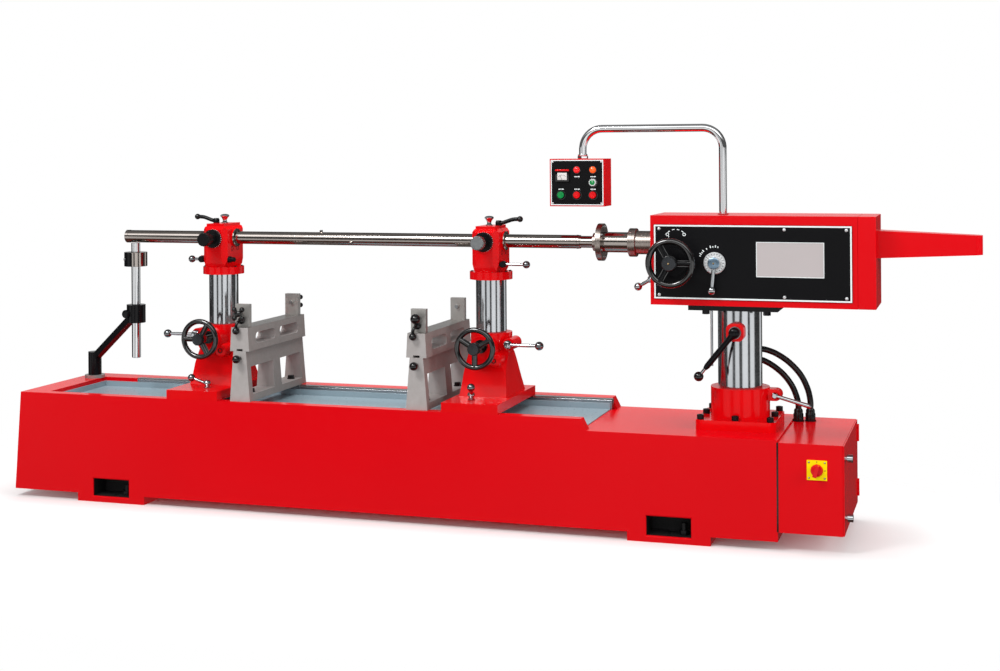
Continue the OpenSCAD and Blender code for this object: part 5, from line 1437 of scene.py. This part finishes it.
    def housing_levers(self) -> None:
        """Builds the bent lever on the housing's top and the straight one on its side."""
        n, o = self.name, self.side.value
        top = Maker(f"{n}_bent_lever", f"{n}_top_lever", BLACK_OXIDE)
        foot = self.at(30, 0, self.housing_top + 0.3)
        top.lathe([(5, -10), (5, 0), (12, 0), (12, 12), (9, 18)], foot, UP, 32)
        bends = ((0, 9), (16, 10), (34, 16), (54, 22), (80, 23.5))
        line = [self.at(30 + dx, 0, self.housing_top + dz) for dx, dz in bends]
        top.tube(smooth_line(line, 4), 7.2, 16)
        top.use(BLACK_MOULDING).ball(line[-1], 11.0, (o, 0, 0))
        top.done([f"{n}_top_lever"])
        side = Maker(f"{n}_straight_lever", f"{n}_side_lever", BLACK_OXIDE)
        hub = self.at(*self.side_hub)
        side.lathe([(5, -8), (5, 0), (12, 0), (12.5, 4), (12.5, 20), (9, 24)], hub, TO_FRONT, 32)
        reach = 42 if self.side is Side.LEFT else 86
        arm(side.use(CHROME), hub + Vector(TO_FRONT) * 12, (o, 0, 0), reach, 13, 27, STEEL_BALL)
        side.done([f"{n}_side_lever"])

    def micrometer(self) -> None:
        """Builds the cross-set micrometer with its flange and fluted grip."""
        n = self.name
        start = (self.x, self.cross_y, self.bar_z)
        piece = Maker(f"{n}_cross_setter", f"{n}_micrometer", BLACK_OXIDE)
        piece.lathe([(12, -20), (12, 0), (34, 0), (35, 1.5), (35, 11), (32, 13.7), (22, 13.7)], start, TO_FRONT, 56)
        piece.lathe([(20, 13), (20, 44), (21.5, 45), (21.5, 50), (19, 52), (19, 56)], start, TO_FRONT, 48)
        piece.use(self.micrometer_finish)
        piece.lathe([(24, 55.7), (25.6, 57), (25.6, 79.7), (23, 81.7), (12, 81.7)], start, TO_FRONT, 72, 18, 1.4)
        piece.use(PANEL_WHITE)
        for k in range(30):
            edge = Vector(start) + spoke(12 * k) * 35 + Vector(TO_FRONT) * 3
            piece.tube([edge, edge + Vector(TO_FRONT) * (5 + 3 * (k % 5 == 0))], 0.5, 6)
        piece.done([f"{n}_micrometer"])


@dataclass
class Support:
    """One work support: trestle, seat block, clamp levers and bolts.

    Attributes:
        shop: shared jobs.
        side: which support it is.
        x: its place along the bed.
        way_z: height of the bed's way.
        front: distance of the support's ends from the bar.
        post_y: distance of the posts' outer faces from the bar.
        seat_z: height just below the seat's ground top.
        post_z: height just above it, where the posts' milled edges start.
        screw_z: height above which the posts' screws are.
        knob_z: height of the seat screws' knobs.
        lever_z: height of the clamp levers' hubs.
        inset: how much nearer the bar the levers end at the back, so that they stay within the machine's depth.
    """

    shop: Shop
    side: Side
    x: float
    way_z: float = 398.0
    front: float = 240.0
    post_y: float = 218.0
    seat_z: float = 664.0
    post_z: float = 668.0
    screw_z: float = 700.0
    knob_z: float = 716.4
    lever_z: float = 690.0
    inset: float = 8.0

    def build(self) -> None:
        """Builds the support's pieces."""
        n = self.side.name.lower()
        # The long right-facing sides of trestle and seat block get a darker grey: painted shade.
        self.shop.soften(f"{n}_trestle", f"{n}_trestle", CAST_GREY, 3.0,
                         [(lambda p: abs(p.y) > self.front + 3, BLACK_MOULDING), (self.on_shaded_side, CAST_PAINTED_SHADE)])
        self.shop.soften(f"{n}_seat_block", f"{n}_seat_block", CAST_GREY, 2.0,
                         [(lambda p: p.z > self.screw_z and abs(abs(p.y) - self.post_y + 10) > 10.5, ZINC),
                          (lambda p: p.z > self.post_z, MILLED_IRON), (lambda p: p.z > self.seat_z, GROUND_IRON),
                          (self.on_shaded_side, CAST_PAINTED_SHADE)],
                         drop=lambda p: p.z > self.lever_z and abs(p.y) > self.post_y + 14)
        self.clamps(n)
        bolts = Maker(f"{n}_hold_down_bolts", f"{n}_trestle", BLACK_OXIDE)
        for y in (-165, 60, 170):
            hex_head(bolts, (self.x + 8, y, self.way_z + 24), UP, 12, 14)
        bolts.done()

    def on_shaded_side(self, p: Vector) -> bool:
        """Tells whether a point lies on the long side that faces right, which is drawn with painted shade."""
        return p.x > self.x + 15 and abs(p.y) < self.front - 10

    def clamps(self, n: str) -> None:
        """Builds the seat screws' knobs and the bent clamp levers below them.

        Args:
            n: start of the support's node and body names.
        """
        piece = Maker(f"{n}_seat_clamps", f"{n}_seat_block", BLACK_MOULDING)
        for s in (-1, 1):
            back = self.inset if s > 0 else 0
            top = Vector((self.x, s * (self.front + 6 - back / 2), self.knob_z))
            if self.side is Side.LEFT:
                piece.lathe([(9, -16), (11, -8), (11, 6), (7, 10), (3, 11)], top, (0, s, 0), 28)
                for k in range(4):
                    out = spoke(45 + 90 * k) + Vector((0, 0.15 * s, 0))
                    piece.tube([top + out * 6, top + out * 20], 5.0, 14)
                    piece.ball(top + out * 22, 9.5, tuple(out))
            else:
                piece.ball(top, 18.0, (0, s, 0))
                piece.lathe([(8, -14), (9, -28)], top, (0, s, 0), 20)
            z = self.lever_z
            piece.lathe([(11, -2), (12.5, 2), (12.5, 12), (9, 17), (4, 19)], (self.x, s * self.post_y, z),
                        (0, s, 0), 28)
            line = [(self.x, s * (self.post_y + 10), z), (self.x - 4, s * (self.post_y + 26), z - 4),
                    (self.x - 8, s * (self.front + 10 - back), z - 16),
                    (self.x - 7, s * (self.front + 14 - back), z - 35)]
            piece.tube(smooth_line(line, 4), 5.5, 14)
            piece.ball(line[-1], 13.5, UP)
        piece.done()


@dataclass
class BarRest:
    """The stand on the bed's left end that carries the bar's free end.

    Attributes:
        shop: shared jobs.
        rod: axis of the rest rod, along X and Y.
        rod_r: radius of the rod.
        foot_top: top of the stand's foot plate.
        clamp_z: middle of the stand's clamp.
        ring_z: middle of the rod's ring.
        rod_z: lower and upper end of the rod.
    """

    shop: Shop
    rod: Pair = (-1094.0, 0.0)
    rod_r: float = 17.0
    foot_top: float = 410.3
    clamp_z: float = 678.0
    ring_z: float = 889.5
    rod_z: Pair = (506.0, 952.5)

    def build(self) -> None:
        """Builds the rest's pieces."""
        x, y = self.rod
        self.shop.soften("rest_stand", "bed", BLACK_ENAMEL, 1.5, [(lambda p: p.z < self.foot_top, MILLED_IRON)])
        self.shop.soften("rest_rod", "rest", BLACK_ENAMEL, 1.0, [(lambda p: p.x > x + 9, GROUND_BAR)],
                         drop=lambda p: (math.hypot(p.x - x, p.y - y) < self.rod_r + 0.2
                                         and abs(p.z - self.ring_z) > 30))
        (low, high), r = self.rod_z, self.rod_r
        rod = Maker("rest_rod_ground", "rest", POLISHED_TUBE)
        rod.lathe([(r - 2, low), (r, low + 2), (r, high - 1), (r - 1, high)], (x, y, 0), UP, 64).done()
        knob = Maker("rest_clamp_screw", "bed", BLACK_OXIDE)
        knob.lathe([(14, -4), (16, 2), (16, 14), (13, 18), (7, 19)], (x - 22, y - 26, self.clamp_z),
                   (-0.2, -0.98, 0), 40).done()
        ring = Maker("rest_ring_screw", "rest", ZINC)
        screw_head(ring, (x - 30, y - 31.5, self.ring_z), (-0.7, -0.72, 0), 6)
        ring.done()


@dataclass
class Studio:
    """The pale floor, the soft light and the camera at the photograph's angle.

    Attributes:
        eye: place of the camera, metres.
        swing: how far the camera looks left of the depth axis, degrees.
        roll: the camera's roll, degrees.
        lens: focal length on a 36 mm wide picture.
        shift: vertical shift of the picture.
        strips: light of the surround that the steel mirrors, as pairs of heading in degrees and strength.
        ground: the same below the horizon, dark behind the machine.
        sky: the same just above the horizon.
        canopy: the same high up, bright in front and dark behind.
        zenith: strength of the mirrored surround straight above.
        underside: its colour straight below.
        fill: strength of the surround's own soft light.
        floor_half: half side of the floor, metres.
    """

    eye: Point = (2.07663, -5.25443, 1.30974)
    swing: float = 17.7308
    roll: float = -0.38326
    lens: float = 55.24
    shift: float = -0.187
    strips: Pairs = (
        (-180, 0.05), (180, 0.05), (-152, 0.06), (-148, 1.0), (-123, 1.0), (-119, 0.05), (-109, 0.05), (-105, 1.0),
        (-85, 1.0), (-81, 0.04), (-72, 0.04), (-68, 1.15), (-42, 1.15), (-38, 0.04), (-30, 0.04), (-26, 1.1),
        (-4, 1.1), (1, 0.05), (40, 0.05), (44, 0.8), (60, 0.8), (64, 0.04))
    ground: Pairs = (
        (-180, 0.85), (180, 0.85), (36, 0.85), (46, 0.05), (128, 0.05), (140, 0.85))
    sky: Pairs = (
        (-180, 0.1), (180, 0.1), (84, 0.08), (90, 0.62), (140, 0.62), (150, 0.1))
    canopy: Pairs = (
        (-180, 0.2), (180, 0.2), (-142, 0.3), (-128, 2.2), (-52, 2.2), (-38, 0.35), (0, 0.2), (20, 0.05), (150, 0.05))
    zenith: float = 0.22
    underside: Colour = (0.09, 0.05, 0.04, 1.0)
    fill: float = 0.5
    floor_half: float = 30.0

    def build(self) -> None:
        """Sets up floor, world, lights and camera."""
        scene = bpy.context.scene
        scene.view_settings.view_transform = "Standard"
        scene.view_settings.look = "None"
        self.floor()
        self.world(scene)
        self.lamp("key", (-1.4, -3.4, 4.4), (0.2, 0.0, 0.5), (1.7, 1.0), 142.0, True)
        self.lamp("top", (0.2, 0.5, 4.4), (0.2, 0.0, 0.4), (4.0, 2.2), 150.0)
        self.lamp("front", (0.2, -6.0, 1.7), (0.2, 0.0, 0.6), (4.0, 1.6), 98.0)
        self.lamp("right", (5.2, -1.6, 2.2), (0.4, 0.0, 0.6), (2.4, 2.0), 104.0)
        data = bpy.data.cameras.new("photo_camera")
        data.sensor_width = 36.0
        data.lens = self.lens
        data.shift_y = self.shift
        camera = bpy.data.objects.new("photo_camera", data)
        camera.matrix_world = (Matrix.Translation(self.eye) @ Matrix.Rotation(math.radians(self.swing), 4, "Z")
                               @ Matrix.Rotation(math.radians(90), 4, "X")
                               @ Matrix.Rotation(math.radians(self.roll), 4, "Z"))
        scene.collection.objects.link(camera)
        scene.camera = camera

    @staticmethod
    def grey(level: float) -> Colour:
        """Gives a neutral colour of one strength."""
        return (level, level, level, 1.0)

    def ramp(self, tree: Tree, turn: bpy.types.NodeSocket, stops: Pairs) -> bpy.types.NodeSocket:
        """Adds light that changes with the heading.

        Args:
            tree: the world's nodes.
            turn: heading from 0 to 1.
            stops: pairs of heading in degrees and strength, the two ends first.

        Returns:
            The socket that gives the light.
        """
        band = add_node(tree, "ShaderNodeValToRGB", inputs={"Fac": turn})
        points = band.color_ramp.elements
        for _ in stops[2:]:
            points.new(0.5)
        for point, (angle, level) in zip(points, sorted(stops)):
            point.position = (angle + 180) / 360
            point.color = self.grey(level)
        return band.outputs["Color"]

    def floor(self) -> None:
        """Lays a pale floor under the feet."""
        bm = bmesh.new()
        far = self.floor_half
        bm.faces.new([bm.verts.new((x, y, 0.0)) for x, y in ((-far, -far), (far, -far), (far, far), (-far, far))])
        mesh = bpy.data.meshes.new("floor")
        bm.to_mesh(mesh)
        bm.free()
        floor = bpy.data.objects.new("floor", mesh)
        bpy.context.scene.collection.objects.link(floor)
        mesh.materials.append(FLOOR.material())
        floor.visible_glossy = floor.visible_diffuse = False

    def world(self, scene: bpy.types.Scene) -> None:
        """Gives a white surround with soft dark bands that the steel mirrors.

        Args:
            scene: scene that gets the world.
        """
        world = bpy.data.worlds.new("studio_surround")
        world.use_nodes = True
        tree = world.node_tree
        tree.nodes.clear()
        place = add_node(tree, "ShaderNodeTexCoord")
        split = add_node(tree, "ShaderNodeSeparateXYZ", inputs={"Vector": place.outputs["Generated"]})
        turn = add_node(tree, "ShaderNodeMath", {"operation": "ARCTAN2"},
                        {0: split.outputs["Y"], 1: split.outputs["X"]})
        round_ = add_node(tree, "ShaderNodeMapRange",
                          inputs={"Value": turn.outputs[0], "From Min": -math.pi, "From Max": math.pi})
        shade: Colour | bpy.types.NodeSocket = self.underside
        heading = round_.outputs["Result"]
        for low, high, level in ((-0.56, -0.46, self.ramp(tree, heading, self.ground)),
                                 (-0.24, -0.19, self.ramp(tree, heading, self.strips)),
                                 (0.02, 0.05, self.ramp(tree, heading, self.sky)),
                                 (0.34, 0.42, self.ramp(tree, heading, self.canopy)),
                                 (0.72, 0.84, self.grey(self.zenith))):
            step = add_node(tree, "ShaderNodeMapRange", {"interpolation_type": "SMOOTHSTEP"},
                            {"Value": split.outputs["Z"], "From Min": low, "From Max": high})
            shade = add_node(tree, "ShaderNodeMix", {"data_type": "RGBA"},
                             {0: step.outputs["Result"], 6: shade, 7: level}).outputs[2]
        rays = add_node(tree, "ShaderNodeLightPath")
        lit = add_node(tree, "ShaderNodeMix", {"data_type": "RGBA"},
                       {0: rays.outputs["Is Glossy Ray"], 6: self.grey(self.fill), 7: shade})
        seen = add_node(tree, "ShaderNodeMix", {"data_type": "RGBA"},
                        {0: rays.outputs["Is Camera Ray"], 6: lit.outputs[2], 7: self.grey(1.0)})
        glow = add_node(tree, "ShaderNodeBackground", inputs={"Color": seen.outputs[2]})
        add_node(tree, "ShaderNodeOutputWorld", inputs={"Surface": glow.outputs["Background"]})
        scene.world = world

    def lamp(self, name: str, at: Point, aim: Point, size: Pair, watts: float,
             mirrored: bool = False) -> None:
        """Hangs one soft box.

        Args:
            name: name of the lamp.
            at: its place, metres.
            aim: the point that it looks at.
            size: width and height of the box.
            watts: its power.
            mirrored: whether glossy surfaces show it.
        """
        data = bpy.data.lights.new(name, "AREA")
        data.shape = "RECTANGLE"
        data.size, data.size_y = size
        data.energy = watts
        lamp = bpy.data.objects.new(name, data)
        lamp.location = at
        lamp.rotation_euler = (Vector(aim) - Vector(at)).to_track_quat("-Z", "Y").to_euler()
        lamp.visible_glossy = mirrored
        bpy.context.scene.collection.objects.link(lamp)


def main() -> None:
    """Loads the frame, dresses each sub-assembly and sets up the picture."""
    logging.basicConfig(level=logging.INFO, format="%(message)s")
    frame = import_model()
    shop = Shop(frame)
    units = (Bed(shop), Cabinet(shop), HeadColumn(shop), Head(shop), Pendant(shop),
             Upright(shop, Side.LEFT, -713.0, BLACK_OXIDE), Upright(shop, Side.RIGHT, 360.0, ZINC),
             Support(shop, Side.LEFT, -524.0), Support(shop, Side.RIGHT, 161.0), BarRest(shop), Studio())
    for unit in units:
        unit.build()
        LOG.info("built %s", type(unit).__name__)


if __name__ == "__main__":
    main()
